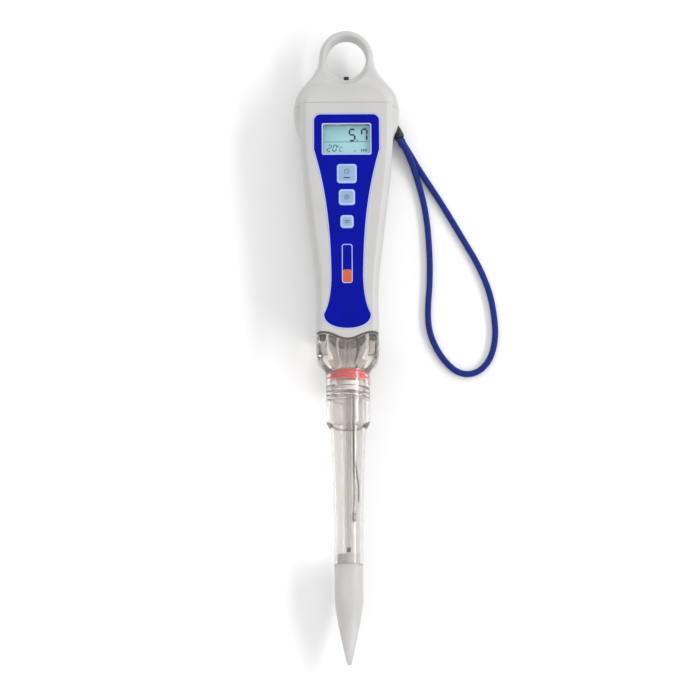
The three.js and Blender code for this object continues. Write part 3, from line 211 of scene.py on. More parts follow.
case_plastic = moulded("case_plastic", CASE_GREY, 0.38, 7000, 6e-6, 0.02, Coat_Weight=0.1, Coat_Roughness=0.2)
# A darker, rougher copy of the case plastic for the parts inside the case; the darkening is painted shade.
case_painted_shade = moulded("case_plastic_inner", tint(CASE_GREY, 0.9), 0.6)
film_blue = moulded("film_blue", FILM_BLUE, 0.4, 16000, 2e-6, 0.08, Specular_IOR_Level=0.06)
film_pale = moulded("film_pale", PALE_LILAC, 0.4, 16000, 3e-6, 0.04)
film_orange = moulded("film_orange", (0.55, 0.10, 0.03), 0.4, 16000, 3e-6, 0.05)
key_silicone = moulded("key_silicone", (0.42, 0.52, 0.86), 0.48, 11000, 5e-6, 0.04, Subsurface_Weight=0.1)
key_face = moulded("key_face", (0.25, 0.38, 0.56), 0.5, 11000, 5e-6, 0.05)
key_ink = moulded("key_ink", (0.03, 0.06, 0.13), 0.5, 12000, 3e-6, 0.1)
black_plastic = moulded("black_plastic", (0.012, 0.012, 0.014), 0.42, 8000, 7e-6, 0.2)
white_plastic = moulded("white_plastic", (0.80, 0.79, 0.76), 0.45)
seal_rubber = moulded("seal_rubber", (0.10, 0.075, 0.06), 0.62, 6000, 8e-6, 0.15)
red_silicone = moulded("red_silicone", (0.74, 0.012, 0.01), 0.35, 9000, 4e-6, 0.08, Subsurface_Weight=0.15)
board_laminate = moulded("board_laminate", (0.02, 0.13, 0.05), 0.4, 3000, 1.2e-5, 0.12)
cell_wrap = moulded("cell_wrap", (0.05, 0.06, 0.075), 0.3, 5000, 4e-6, 0.1, Coat_Weight=0.4)
steel = metal("plated_steel", (0.62, 0.63, 0.65), 0.22, (1, 12, 1))
gold = metal("contact_gold", (0.78, 0.58, 0.27), 0.25, (1, 8, 1))
dark_silver = metal("dark_silver", (0.16, 0.15, 0.14), 0.4, (1, 10, 1))

# %% [markdown]
# The clear mouldings are real walls of acrylic, so bending light in them gives the dark rims and bright
# streaks by itself. Fine drawn lines run along the tube. The funnel's colour is darker and browner in a
# band under the wavy edge, in soft blotches.


# %% Clear and frosted plastics
def clear(name, colour, roughness=0.03, streaks=2e-6, dark_band=None, index=1.49, haze=0.0):
    finish = Finish(name, colour, roughness, IOR=index, Transmission_Weight=1 - haze)
    streak = finish.noise(1500, 2, (1, 0.02, 1))
    finish.bump(streak, streaks)
    # Between two heights the colour turns darker and browner, in soft blotches.
    if dark_band:
        low, high, tone = dark_band
        along = finish.node("ShaderNodeSeparateXYZ", None, {0: finish.place}, "Y")
        mask = finish.ramp(along, low * MM, (low + 3) * MM) * (1 - finish.ramp(along, (high - 1) * MM, high * MM))
        band_mask = mask * (finish.noise(350, 3) * 0.5 + 0.7)
        finish.feed("Base Color", finish.blend(band_mask, colour, tone))
    return finish.material


def frosted(name, colour):
    finish = Finish(name, colour, 0.4, IOR=1.45, Transmission_Weight=0.45, Subsurface_Weight=0.25)
    finish.shader.inputs["Subsurface Radius"].default_value = (0.004, 0.004, 0.004)
    grain = finish.noise(5200, 4)
    cloud = finish.ramp(finish.noise(160, 3, (1, 0.5, 1)), 0.3, 0.7)
    finish.feed("Base Color", finish.blend(cloud, tint(colour, 0.93), tint(colour, 1.04)))
    finish.feed("Roughness", grain * 0.25 + cloud * 0.08 + 0.25)
    finish.bump(grain, 9e-6)
    return finish.material


clear_tube = clear("clear_tube", (0.85, 0.83, 0.815), 0.04, haze=0.04)
# The funnel's darker, browner band runs from y = -12.5 mm to 1.5 mm.
funnel_band = (-12.5, 1.5, (0.71, 0.67, 0.63))
clear_housing = clear("clear_housing", (0.97, 0.925, 0.91), 0.06, 3e-6, funnel_band, haze=0.05)
clear_window = clear("clear_window", (0.97, 0.985, 1.0), 0.05, 5e-7, index=1.2)
frosted_tip = frosted("frosted_tip", (0.72, 0.705, 0.695))

# %% [markdown]
# Shapes are drawn with bmesh operators. A loft starts as one circle of points and is extruded from station
# to station. A lathe spins a profile. A plate is a flat outline, extruded and bevelled. Where one solid has
# to be cut out of another, or joined to it, a Boolean modifier does it on throw-away objects.


# %% Mesh helpers
def smoothstep(value, low, high):
    t = min(max((value - low) / (high - low), 0), 1)
    return t * t * (3 - 2 * t)


def mix(a, b, t):
    return a + (b - a) * t


def spread(start, end, count):
    """Evenly spaced values from start to end, with both ends."""
    return [mix(start, end, i / count) for i in range(count + 1)]


def placed(bm, angle=0.0, axis="X", offset=(0, 0, 0), size=(1, 1, 1)):
    """Turns a mesh about an axis through the origin, then stretches and moves it."""
    bmesh.ops.rotate(bm, verts=bm.verts, cent=(0, 0, 0), matrix=Matrix.Rotation(angle, 3, axis))
    bmesh.ops.scale(bm, vec=size, verts=bm.verts)
    bmesh.ops.translate(bm, verts=bm.verts, vec=offset)
    return bm


def scratch_object(bm):
    mesh = bpy.data.meshes.new("scratch")
    bm.to_mesh(mesh)
    bm.free()
    return linked("scratch", mesh)


def with_modifiers(made):
    """The object's mesh with its modifiers applied, as a new bmesh. The object goes."""
    evaluated = made.evaluated_get(bpy.context.evaluated_depsgraph_get())
    bm = bmesh.new()
    bm.from_mesh(evaluated.to_mesh())
    evaluated.to_mesh_clear()
    bpy.data.objects.remove(made)
    return bm


def combine(base, operation, *tools):
    """The base solid joined to, or cut by, each tool in turn."""
    for tool in tools:
        first, second = scratch_object(base), scratch_object(tool)
        modifier = first.modifiers.new("combine", "BOOLEAN")
        modifier.operation, modifier.object, modifier.solver = operation, second, "EXACT"
        bpy.context.view_layer.update()
        base = with_modifiers(first)
        bpy.data.objects.remove(second)
    return base


def loft(stations, segments=96, closed=False):
    """Extrudes a ring of points through stations. Each gives the point at a share of a quarter turn."""
    bm = bmesh.new()
    bmesh.ops.create_circle(bm, segments=segments, radius=1)
    order = bm.verts.layers.int.new("order")
    for i, vert in enumerate(bm.verts):
        vert[order] = i
    per_quarter = segments // 4
    fresh, edges = bm.verts[:], bm.edges[:]
    ends = [edges]
    for k, station in enumerate(stations):
        if k:
            made = bmesh.ops.extrude_edge_only(bm, edges=edges)["geom"]
            fresh = [g for g in made if isinstance(g, bmesh.types.BMVert)]
            edges = [g for g in made if isinstance(g, bmesh.types.BMEdge) and g.is_boundary]
        for vert in fresh:
            quarter, step = divmod(vert[order], per_quarter)
            vert.co = station(quarter, step / per_quarter)
    if not closed:
        for end in (ends[0], edges):
            bmesh.ops.contextual_create(bm, geom=end)
    return tidy(bm)


def tidy(bm):
    """Merges doubles and points every face outwards."""
    bmesh.ops.remove_doubles(bm, verts=bm.verts, dist=1e-4)
    bmesh.ops.dissolve_degenerate(bm, dist=1e-4, edges=bm.edges)
    bmesh.ops.recalc_face_normals(bm, faces=bm.faces)
    return bm


def lathe(profile, centre_z, segments=96):
    """Spins a profile of (radius, y) about the line x = 0, z = centre_z. It may end on that line."""
    bm = bmesh.new()
    verts = [bm.verts.new((r, y, centre_z)) for r, y in profile]
    closed = profile[0][0] > 0 or profile[-1][0] > 0
    pairs = list(zip(verts, verts[1:])) + ([(verts[-1], verts[0])] if closed else [])
    edges = [bm.edges.new(pair) for pair in pairs]
    bmesh.ops.spin(
        bm, geom=verts + edges, cent=(0, 0, centre_z), axis=(0, 1, 0), angle=2 * math.pi,
        steps=segments, use_merge=True,
    )
    return tidy(bm)


def plate(outline, low, high, edge=0.0, segments=3, both=False):
    """A flat outline of (x, y) from low to high, with its top edge, or both edges, rounded."""
    bm = bmesh.new()
    face = bm.faces.new([bm.verts.new((x, y, low)) for x, y in outline])
    made = bmesh.ops.extrude_face_region(bm, geom=[face])["geom"]
    top = [g for g in made if isinstance(g, bmesh.types.BMVert)]
    bmesh.ops.translate(bm, verts=top, vec=(0, 0, high - low))
    bm.normal_update()
    if edge:
        rims = [high, low] if both else [high]
        rim = [e for e in bm.edges if any(all(abs(v.co.z - z) < 1e-5 for v in e.verts) for z in rims)]
        bmesh.ops.bevel(
            bm, geom=rim, offset=edge, segments=segments, profile=0.5, affect="EDGES", material=-1,
        )
    return tidy(bm)


def rounded(width, height, radius, cx=0.0, cy=0.0, steps=6):
    """The outline of a rectangle with round corners."""
    points = []
    for quarter in range(4):
        sx, sy = ((1, 1), (-1, 1), (-1, -1), (1, -1))[quarter]
        for k in range(steps + 1):
            angle = (quarter + k / steps) * math.pi / 2
            x = cx + sx * (width / 2 - radius) + radius * math.cos(angle)
            points.append((x, cy + sy * (height / 2 - radius) + radius * math.sin(angle)))
    return points


def bezier(a, b, c, d, count):
    """Points of a cubic curve with a and d on it."""
    points = interpolate_bezier(*(Vector((*p, 0)) for p in (a, b, c, d)), count)
    return [(p.x, p.y) for p in points]


def mirrored(right):
    """A closed outline from its right-hand side, listed from the bottom up."""
    left = [(-x, y) for x, y in reversed(right)]
    points = [*right, *left]
    return [p for i, p in enumerate(points) if math.dist(p, points[i - 1]) > 1e-4]


SLOTS = {row["node"]: row["material_slot"] for row in frame["record"]["subparts"]}
BODIES = {node: body for body, nodes in frame["record"]["behaviour"]["bodies"].items() for node in nodes}


def piece(name, bm, material, node, crease=32, extra=False):
    """Turns a bmesh in millimetres into a piece that stands for a CAD node, or is extra to it."""
    tidy(bm)
    bmesh.ops.scale(bm, vec=(MM, MM, MM), verts=bm.verts)
    for face in bm.faces:
        face.smooth = True
    for edge in bm.edges:
        edge.smooth = edge.calc_face_angle(0) < math.radians(crease)
    mesh = bpy.data.meshes.new(name)
    bm.to_mesh(mesh)
    bm.free()
    mesh.materials.append(material)
    made = linked(name, mesh)
    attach(made, BODIES[node])
    if not extra:
        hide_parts(node)
    print(f"{name}: {len(mesh.polygons)} faces")
    return made


def lets_light_in(made):
    """No shadow for a clear piece, since without caustics it would be drawn as dark as an opaque one's."""
    made.visible_shadow = False


# %% [markdown]
# The wrist cord is a 2.5 mm braid, 0.216 m of it in sight. It leaves a black bead as two strands, makes
# one slim loop on the table and comes back. The tube follows the same route as its solid, and its skin
# has the plaits of a braid in relief, with the pattern also painted on through the tube's own map, darker
# in its grooves as painted shade.

# %% Cord route
CORD_D = 2.5
BEAD_Z = 2.55
BEAD_TURN = math.radians(24)
BEAD_OUT = 0.5
BEAD_DROP = 8.9
STRAND_OFFSET = 0.6
STRAND_Z = (1.35, 3.75)
SEAM = box_mm("front_shell")[1].y + 0.05
EAR_HALF = box_mm("front_shell")[1].x
CORD_ROUTE = [
    (25.0, 79.0, 1.3), (28.9, 72.0, 1.27), (33.8, 64.0, 1.27), (38.3, 56.6, 1.27), (42.7, 48.9, 1.27),
    (47.0, 41.2, 1.27), (51.0, 34.0, 1.27), (54.3, 26.6, 1.27), (56.6, 19.4, 1.27), (57.9, 11.6, 1.27),
    (58.3, 4.4, 1.27), (57.4, -2.0, 1.27), (55.2, -7.2, 1.27), (51.6, -10.8, 1.27), (47.2, -12.1, 1.27),
    (42.8, -10.9, 1.27), (38.8, -7.4, 1.27), (35.3, -2.2, 1.27), (32.8, 3.9, 1.27), (31.9, 9.9, 1.27),
    (32.0, 16.4, 1.27), (32.6, 24.2, 1.27), (32.8, 33.0, 1.27), (32.5, 42.0, 1.27), (31.8, 50.5, 1.27),
    (30.5, 58.6, 1.3), (28.4, 66.8, 1.75), (26.0, 74.0, 3.1), (23.2, 80.4, 3.7),
]
bead_mouth = Vector((EAR_HALF + BEAD_OUT, SEAM - BEAD_DROP, BEAD_Z))
strand_way = Vector((math.sin(BEAD_TURN), -math.cos(BEAD_TURN), 0))
strand_side = Vector((math.cos(BEAD_TURN), math.sin(BEAD_TURN), 0))


def by_bead(side, z, along):
    """A point beside the bead's mouth, so far along the strands' way."""
    point = bead_mouth + strand_side * side + strand_way * along
    return Vector((point.x, point.y, z))


def through(points, step):
    """Points about a step apart on a smooth curve through the given ones."""
    knots = [Vector(p) for p in points]
    knots = [2 * knots[0] - knots[1], *knots, 2 * knots[-1] - knots[-2]]
    found = []
    for a, b, c, d in zip(knots, knots[1:], knots[2:], knots[3:]):
        count = max(round((c - b).length / step), 1)
        for i in range(count):
            t = i / count
            bend = (2 * a - 5 * b + 4 * c - d) * t**2 + (3 * b - a - 3 * c + d) * t**3
            found.append(b + ((c - a) * t + bend) / 2)
    return [*found, knots[-2]]


def tube(path, radius, sides=12, relief=None):
    """A round tube along a path, with a map: U once round it, V in tube widths along it."""
    bm = bmesh.new()
    uv = bm.loops.layers.uv.new("UVMap")
    up, rings, travelled, lengths = Vector((0, 0, 1)), [], 0, []
    for i, point in enumerate(path):
        way = (path[min(i + 1, len(path) - 1)] - path[max(i - 1, 0)]).normalized()
        side = way.cross(up).normalized()
        up = side.cross(way).normalized()
        travelled += (point - path[i - 1]).length if i else 0
        lengths.append(travelled)
        ring = []
        for k in range(sides):
            angle = 2 * math.pi * k / sides
            r = radius * (relief(k / sides, travelled) if relief else 1)
            ring.append(bm.verts.new(point + side * (r * math.cos(angle)) + up * (r * math.sin(angle))))
        rings.append(ring)
    for i in range(len(rings) - 1):
        for k in range(sides):
            corners = ((i, k), (i, k + 1), (i + 1, k + 1), (i + 1, k))
            face = bm.faces.new([rings[a][b % sides] for a, b in corners])
            for loop, (a, b) in zip(face.loops, corners):
                loop[uv].uv = (b / sides, lengths[a] / (2 * radius))
    bm.faces.new(rings[0][::-1])
    bm.faces.new(rings[-1])
    return bm


# %% Braided cord
PLAITS = 8
PLAIT_PITCH = 5.2  # along the cord, for one turn of a strand


def braid(around, along):
    """Height of the braid, from 0.9 to 1: two families of strands cross over and under."""
    a = math.sin(math.pi * PLAITS * (around + along / PLAIT_PITCH))
    b = math.sin(math.pi * PLAITS * (around - along / PLAIT_PITCH))
    return 0.9 + 0.1 * max(abs(a) * (0.75 + 0.25 * b), abs(b) * (0.75 - 0.25 * a))


def braid_finish():
    soft = {"Sheen_Weight": 0.08, "Sheen_Roughness": 0.4, "Specular_IOR_Level": 0.3}
    finish = Finish("braided_cord", (0.008, 0.03, 0.3), 0.7, **soft)
    laid = finish.node("ShaderNodeTexCoord", None, None, "UV")
    spread = {"Vector": laid, "Scale": (PLAITS * 6, PLAITS * 2, 1), "Rotation": (0, 0, 0.6)}
    threads = finish.node("ShaderNodeMapping", None, spread)
    bands = {"Vector": threads, "Scale": 1.0, "Distortion": 1.2}
    wave = finish.node("ShaderNodeTexWave", {"bands_direction": "X"}, bands)
    tone = finish.noise(700, 4)
    # Lighter on the raised threads and darker in the grooves of the weave, which is painted shade; the noise adds
    # random tone.
    weave_shade_and_tone = finish.ramp(wave * 0.6 + tone * 0.5, 0.25, 0.9)
    finish.feed("Base Color", finish.blend(weave_shade_and_tone, (0.002, 0.008, 0.10), (0.008, 0.035, 0.34)))
    finish.feed("Roughness", 0.9 - weave_shade_and_tone * 0.25)
    finish.bump(wave, 6e-5, 0.7)
    return finish.material


blue_braid = braid_finish()
route = [
    by_bead(STRAND_OFFSET, STRAND_Z[0], 0.3), by_bead(STRAND_OFFSET, STRAND_Z[0], 3), *CORD_ROUTE,
    by_bead(-STRAND_OFFSET, STRAND_Z[1], 3), by_bead(-STRAND_OFFSET, STRAND_Z[1], 0.3),
]
cord_path = through(route, 0.22)
cord_length = sum((b - a).length for a, b in zip(cord_path, cord_path[1:]))
cord = piece("wrist_cord", tube(cord_path, CORD_D / 2, 32, braid), blue_braid, "lanyard_cord", 80)
print(f"cord: {cord_length:.1f} mm")

# %% [markdown]
# The bead is a flattened sleeve that pinches both strands. Above it a thin string loops through the tab
# under the shoulder, so the cord can be taken off.

# %% Bead and string
BEAD = {"width": 4.0, "height": 4.8, "length": 5.6, "taper": 0.7}


def bead_station(t, grow, pinch=0.8):
    def point(quarter, share):
        angle = (quarter + share) * math.pi / 2
        c, s = math.cos(angle), math.sin(angle)
        x = BEAD["width"] / 2 * grow * math.copysign(abs(c) ** pinch, c)
        z = BEAD["height"] / 2 * grow * math.copysign(abs(s) ** pinch, s)
        return Vector((x, t * BEAD["length"], z))

    return point


bead_rings = [(0.1, 0.55), (0.02, 0.62), (0, 0.84), (0.03, 0.94), (0.12, 1), (0.16, 0.95), (0.2, 1), (0.5, 0.98),
              (0.7, 0.93), (0.75, 0.88), (0.8, 0.89), (0.95, 0.76), (0.99, 0.7), (1, 0.55)]
bead_mesh = loft([bead_station(t, grow) for t, grow in bead_rings], 48)
placed(bead_mesh, BEAD_TURN, "Z", bead_mouth)
bead = piece("cord_bead", bead_mesh, black_plastic, "lanyard_bead", 50)

TAB = {"inset": 0.25, "root": 1.8, "below": 2.45, "length": 2.2, "low": 2.6, "high": 4.4}
TAB_HOLE = {"radius": 0.85, "x": 1.5}
hole_x = EAR_HALF - TAB["inset"] - TAB_HOLE["x"]
hole_y = SEAM - TAB["below"] + TAB["length"] / 2
bead_top = by_bead(0, BEAD_Z, -BEAD["length"] - 0.45)
string_route = [
    (bead_top.x - 0.1, bead_top.y, BEAD_Z - 0.8), (hole_x - 0.3, hole_y - 1.9, TAB["low"] - 0.85),
    (hole_x, hole_y - 0.6, TAB["low"] - 0.8), (hole_x, hole_y, TAB["low"] + 0.3),
    (hole_x, hole_y, TAB["high"] - 0.3),
    (hole_x, hole_y - 0.6, TAB["high"] + 0.75), (hole_x - 0.2, hole_y - 1.9, TAB["high"] + 0.55),
    (bead_top.x + 0.1, bead_top.y, BEAD_Z + 0.8),
]
string_tube = tube(through(string_route, 0.15), 0.4, 12)
string = piece("cord_string", string_tube, black_plastic, "lanyard_string")
tuple(cord_path[0] * MM)
[tuple(p * MM) for p in cord_path]

# %% [markdown]
# The grip is two shells with a flat front and back. Its outline swells from a narrow waist to a wide head.
# One loft runs up the outside and back down the inside, so the wall is real, and the lower edge is pulled
# into its wave by moving points. Flat ears with round edges stand out of the sides at the shoulders.

# %% Grip outline
WALL = 1.8
WAVE_DEPTH, WAVE_HALF_PERIOD = 2.6, 9.1
DATUM = box_mm("rear_shell")[0].y + WAVE_DEPTH
DEPTH = box_mm("front_shell")[1].z
AXIS_Z = DEPTH / 2
NECK_HALF, WAIST_HALF, WAIST_RISE = 12.25, 12.05, 13.0
HEAD_DROP, EAR_REACH, EAR_DROP = 12.6, 2.65, 1.8
HEAD_HALF = EAR_HALF - EAR_REACH
FRONT_EDGE, BACK_EDGE = (2.8, 4.5), (4.5, 6.0)
WAVE_FADE = 14.0
QUARTER = 44  # points along a quarter of a section

waist_y, head_y = DATUM + WAIST_RISE, SEAM - HEAD_DROP
side_line = bezier(
    (WAIST_HALF, waist_y), (WAIST_HALF, mix(waist_y, head_y, 0.25)),
    (HEAD_HALF - 0.7, mix(waist_y, head_y, 0.67)), (HEAD_HALF, head_y), 60,
)


def case_half(y):
    """Half width of the grip at height y."""
    if y <= waist_y:
        return mix(NECK_HALF, WAIST_HALF, smoothstep(y - DATUM, 0.4 * WAIST_RISE, WAIST_RISE))
    if y >= head_y:
        return HEAD_HALF
    for (x0, y0), (x1, y1) in zip(side_line, side_line[1:]):
        if y <= y1:
            return mix(x0, x1, (y - y0) / (y1 - y0))
    return HEAD_HALF


def wave(x):
    return -WAVE_DEPTH / 2 * (1 + math.cos(math.pi * min(abs(x) / WAVE_HALF_PERIOD, 1)))


EAR_THICK, EAR_EDGE = 9.6, 2.6
FILLET = 3.2  # between the ears and the sides
widest = SEAM - EAR_DROP


def ear(inwards, rise):
    """A point so far inside and above the widest point of the ears."""
    return EAR_HALF - inwards, widest + rise


shoulder_line = [
    *bezier((HEAD_HALF, head_y), (HEAD_HALF + 0.3, head_y + 4), ear(0, -5.5), ear(0, 0), 24),
    *bezier(ear(0, 0), ear(0, 5), ear(1.65, 8.6), ear(4.65, 12), 24)[1:],
    *bezier(ear(4.65, 12), ear(7.35, 15.4), ear(9.35, 17.2), ear(10.05, 22.2), 24)[1:],
]


def shoulder_half(y):
    """Half width over the ears and the neck of the ring, or 0 under them."""
    for (x0, y0), (x1, y1) in zip(shoulder_line, shoulder_line[1:]):
        if y0 <= y <= y1:
            return mix(x0, x1, (y - y0) / (y1 - y0))
    return 0


def evenly(line, share):
    """The point at a share of a line's length."""
    steps = [math.dist(p, q) for p, q in zip(line, line[1:])]
    left = share * sum(steps)
    for p, q, step in zip(line, line[1:], steps):
        if left <= step and step > 0:
            return mix(p[0], q[0], left / step), mix(p[1], q[1], left / step)
        left -= step
    return line[-1]


def reach(way, w, h, a, b):
    """How far a rectangle with oval corners reaches from its centre, in a direction of the first quarter."""
    c, s = math.cos(way), math.sin(way)
    if w * s <= c * (h - b):
        return w / c
    if h * c <= s * (w - a):
        return h / s
    across = (c / a) ** 2 + (s / b) ** 2
    along = (w - a) * c / a**2 + (h - b) * s / b**2
    out = ((w - a) / a) ** 2 + ((h - b) / b) ** 2 - 1
    return (along + math.sqrt(max(along**2 - across * out, 0))) / across


def section(y, half_width, half_depth, inset=0.0, soft=0.0, waves=0.0):
    """A station: flat sides joined by oval corners. Soft turns it round, and waves lets the edge dip."""
    w, h = half_width - inset, half_depth - inset
    wing = shoulder_half(y) if inset == 0 else 0
    fillet = min(FILLET, 2 * (wing - w))
    corners = []
    for edge in (FRONT_EDGE, BACK_EDGE):
        a = mix(max(edge[0] - inset, 0.8), w, soft)
        b = mix(min(max(edge[1] - inset, 0.8), h), h, soft)
        line = []
        for k in range(161):
            way = k / 160 * math.pi / 2
            far = reach(way, w, h, a, b)
            if fillet > 0:
                side = reach(way, wing, EAR_THICK / 2, EAR_EDGE, EAR_EDGE)
                near = max(fillet - abs(side - far), 0) / fillet
                far = max(side, far) + near**2 * fillet / 4
            line.append((far * math.cos(way), far * math.sin(way)))
        corners.append([evenly(line, k / QUARTER) for k in range(QUARTER + 1)])

    def point(quarter, share):
        step = round(share * QUARTER)
        x, z = corners[quarter // 2][step if quarter % 2 == 0 else QUARTER - step]
        x, z = x * (1 if quarter in (0, 3) else -1), z * (1 if quarter < 2 else -1)
        return Vector((x, y + waves * wave(x), AXIS_Z + z))

    return point


# %% Grip shells
def grip_stations():
    rows = [(DATUM, 0.3), (DATUM + 0.12, 0.09), (DATUM + 0.4, 0.0)]
    rows += [(y, 0.0) for y in spread(DATUM + 1.5, head_y - 1, 36)]
    rows += [(y, 0.0) for y in spread(head_y, SEAM - 0.9, 18)]
    rows += [(SEAM - 0.35, 0.0), (SEAM - 0.05, 0.0), (SEAM - 0.05, WALL)]
    rows += [(y, WALL) for y in spread(SEAM - 2, DATUM + 1, 16)]
    rows += [(DATUM, WALL), (DATUM, 0.3)]
    return [
        section(y, case_half(y), AXIS_Z, inset, 0, 1 - smoothstep(y, DATUM + 0.5, DATUM + WAVE_FADE))
        for y, inset in rows
    ]


def block(low, high):
    """A box between two corners, to cut with."""
    bm = bmesh.new()
    bmesh.ops.create_cube(bm, size=1)
    low, high = Vector(low), Vector(high)
    return placed(bm, offset=(low + high) / 2, size=high - low)


def keep(bm, place, way):
    """Keeps what lies on the side of a plane that the way points to, and closes the cut."""
    cut = bmesh.ops.bisect_plane(
        bm, geom=bm.verts[:] + bm.edges[:] + bm.faces[:], plane_co=place, plane_no=way, clear_inner=True,
    )["geom_cut"]
    rim = [g for g in cut if isinstance(g, bmesh.types.BMEdge) and g.is_boundary]
    bmesh.ops.holes_fill(bm, edges=rim, sides=0)
    return bm


def lanyard_tab():
    left, right = HEAD_HALF - TAB["root"] + 0.5, EAR_HALF - TAB["inset"]
    low = SEAM - TAB["below"]
    outline = rounded(right - left, TAB["length"], 0.9, (left + right) / 2, low + TAB["length"] / 2)
    tab = plate(outline, TAB["low"], TAB["high"], 0.25, 3, True)
    radius = TAB_HOLE["radius"]
    drill = lathe([(0, -3), (radius, -3), (radius, 3), (0, 3)], 0, 32)
    placed(drill, math.pi / 2, "X", (hole_x, hole_y, (TAB["low"] + TAB["high"]) / 2))
    return combine(tab, "DIFFERENCE", drill)


grip = loft(grip_stations(), 4 * QUARTER, True)
rear = keep(grip.copy(), (0, 0, AXIS_Z - 0.05), (0, 0, -1))
front = keep(grip, (0, 0, AXIS_Z + 0.05), (0, 0, 1))
rear = combine(rear, "UNION", lanyard_tab())
piece("case_rear", rear, case_plastic, "rear_shell")

# %% [markdown]
# A thin printed film lies in a shallow bed on the front. It is wide round the display, narrow at the waist
# and flares again at the foot. A pale margin frames the blue print, and the same pale film shows as a rim
# round the window and the keys. The front shell is cut for the bed, the window and the keys.

# %% Film outline and the front shell
FILM_DROP, FILM_HEAD, FILM_WAIST, FILM_FOOT, FILM_CORNER = 4.55, 13.25, 6.55, 9.45, 3.0
MARGIN = 0.42
window_low, window_high = box_mm("display_window")
LEDGE = 0.6
WINDOW_SIZE = (window_high.x - window_low.x - 2 * LEDGE, window_high.y - window_low.y - 2 * LEDGE)
WINDOW_Y = (window_low.y + window_high.y) / 2


def film_outline(border):
    head, waist, foot = (w - border for w in (FILM_HEAD, FILM_WAIST, FILM_FOOT))
    top, low, corner = SEAM - FILM_DROP - border, DATUM + 0.8 + border, FILM_CORNER - border
    straight = DATUM + 22
    rise = WINDOW_Y - 4.2 - straight
    right = [
        *bezier((0, low), (0.6 * foot, low), (foot, low + 2.2), (foot, low + 5.3), 18),
        *bezier((foot, low + 5.3), (foot, low + 6.4), (waist + 0.3, low + 8.4), (waist, straight), 20)[1:],
        *bezier((waist, straight), (waist + 0.35, straight + 0.47 * rise), (waist + 2.85, straight + 0.74 * rise),
                (head, straight + rise), 24)[1:],
    ]
    for k in range(9):
        angle = k / 8 * math.pi / 2
        right.append((head - corner + corner * math.cos(angle), top - corner + corner * math.sin(angle)))
    return mirrored(right)


def window_hole(grow):
    return rounded(WINDOW_SIZE[0] + 2 * grow, WINDOW_SIZE[1] + 2 * grow, 0.8 + max(grow, 0), 0, WINDOW_Y)


KEYS = {}
for key in ("power", "cal", "units"):
    low, high = box_mm("key_" + key)
    KEYS[key] = {"y": (low.y + high.y) / 2, "size": high.x - low.x - 1.4, "top": high.z, "flange": low.z}


def key_hole(key, grow):
    size = KEYS[key]["size"] + 2 * grow
    return rounded(size, size, 1.2 + grow, 0, KEYS[key]["y"])


FILM_THICK, FILM_GAP = 0.3, 0.12
cuts = [plate(film_outline(-FILM_GAP), DEPTH - FILM_THICK, DEPTH + 3)]
cuts.append(plate(window_hole(LEDGE + FILM_GAP), window_low.z - 0.05, DEPTH + 3))
cuts.append(plate(window_hole(-LEDGE), AXIS_Z + 5, DEPTH + 3))
cuts += [plate(key_hole(key, FILM_GAP), AXIS_Z + 5, DEPTH + 3) for key in KEYS]
piece("case_front", combine(front, "DIFFERENCE", *cuts), case_plastic, "front_shell")

# %% Label film and its print
film_back, film_top, print_top = DEPTH - FILM_THICK + 0.02, DEPTH - 0.06, DEPTH - 0.01


def cut_sheet(outline, low, high, grow_window, grow_keys):
    """A sheet with holes for the window and the keys."""
    holes = [plate(window_hole(grow_window), low - 1, high + 1)]
    holes += [plate(key_hole(key, grow_keys), low - 1, high + 1) for key in KEYS]
    return combine(plate(outline, low, high, 0.03, 1), "DIFFERENCE", *holes)


margin = cut_sheet(film_outline(0), film_back, film_top, -MARGIN, FILM_GAP)
piece("label_margin", margin, film_pale, "label_film")
printed = cut_sheet(film_outline(MARGIN), film_top + 0.005, print_top, 0, FILM_GAP)
piece("label_print", printed, film_blue, "label_film", extra=True)

PILL = {"half": 2.05, "low": 19.9, "high": 35.5, "line": 0.28, "accent": 5.1}
pill_y, pill_h = (PILL["low"] + PILL["high"]) / 2, PILL["high"] - PILL["low"]
ink_low, ink_top = print_top + 0.004, print_top + 0.02
pill_inner = 2 * (PILL["half"] - PILL["line"])
frame_out = rounded(2 * PILL["half"], pill_h, 1.0, 0, pill_y)
frame_in = rounded(pill_inner, pill_h - 2 * PILL["line"], 0.75, 0, pill_y)
pill = combine(plate(frame_out, ink_low, ink_top), "DIFFERENCE", plate(frame_in, ink_low - 1, ink_top + 1))
piece("label_frame", pill, film_pale, "label_film", extra=True)
accent_y = PILL["low"] + PILL["line"] + PILL["accent"] / 2
accent = rounded(pill_inner - 0.06, PILL["accent"], 0.7, 0, accent_y)
piece("label_accent", plate(accent, ink_low, ink_top), film_orange, "label_film", extra=True)

# %% [markdown]
# The keys are silicone caps with a raised rim. Each has a flange that keeps it in and a stem over its switch.
# Plain signs stand on them: a power sign, a ring with a dot, and a pair of bars.


# %% Keys
def ring_sign(radius, line, x, y, low, high, gap=0.0):
    """A flat ring, or an arc that is open at the top by a gap in radians."""
    bm = bmesh.new()
    corners = [bm.verts.new((radius + dx, 0, z)) for dx, z in ((0, low), (line, low), (line, high), (0, high))]
    face = bm.faces.new(corners)
    start = math.pi / 2 + gap / 2
    bmesh.ops.rotate(bm, verts=corners, cent=(0, 0, 0), matrix=Matrix.Rotation(start, 3, "Z"))
    turn = 2 * math.pi - gap
    geom = [face, *face.edges, *corners] if gap else [*face.edges, *corners]
    made = bmesh.ops.spin(bm, geom=geom, cent=(0, 0, 0), axis=(0, 0, 1), angle=turn, steps=40, use_merge=not gap)
    if not gap:
        bmesh.ops.delete(bm, geom=[face], context="FACES_ONLY")
    bmesh.ops.translate(bm, verts=bm.verts, vec=(x, y, 0))
    return tidy(bm)


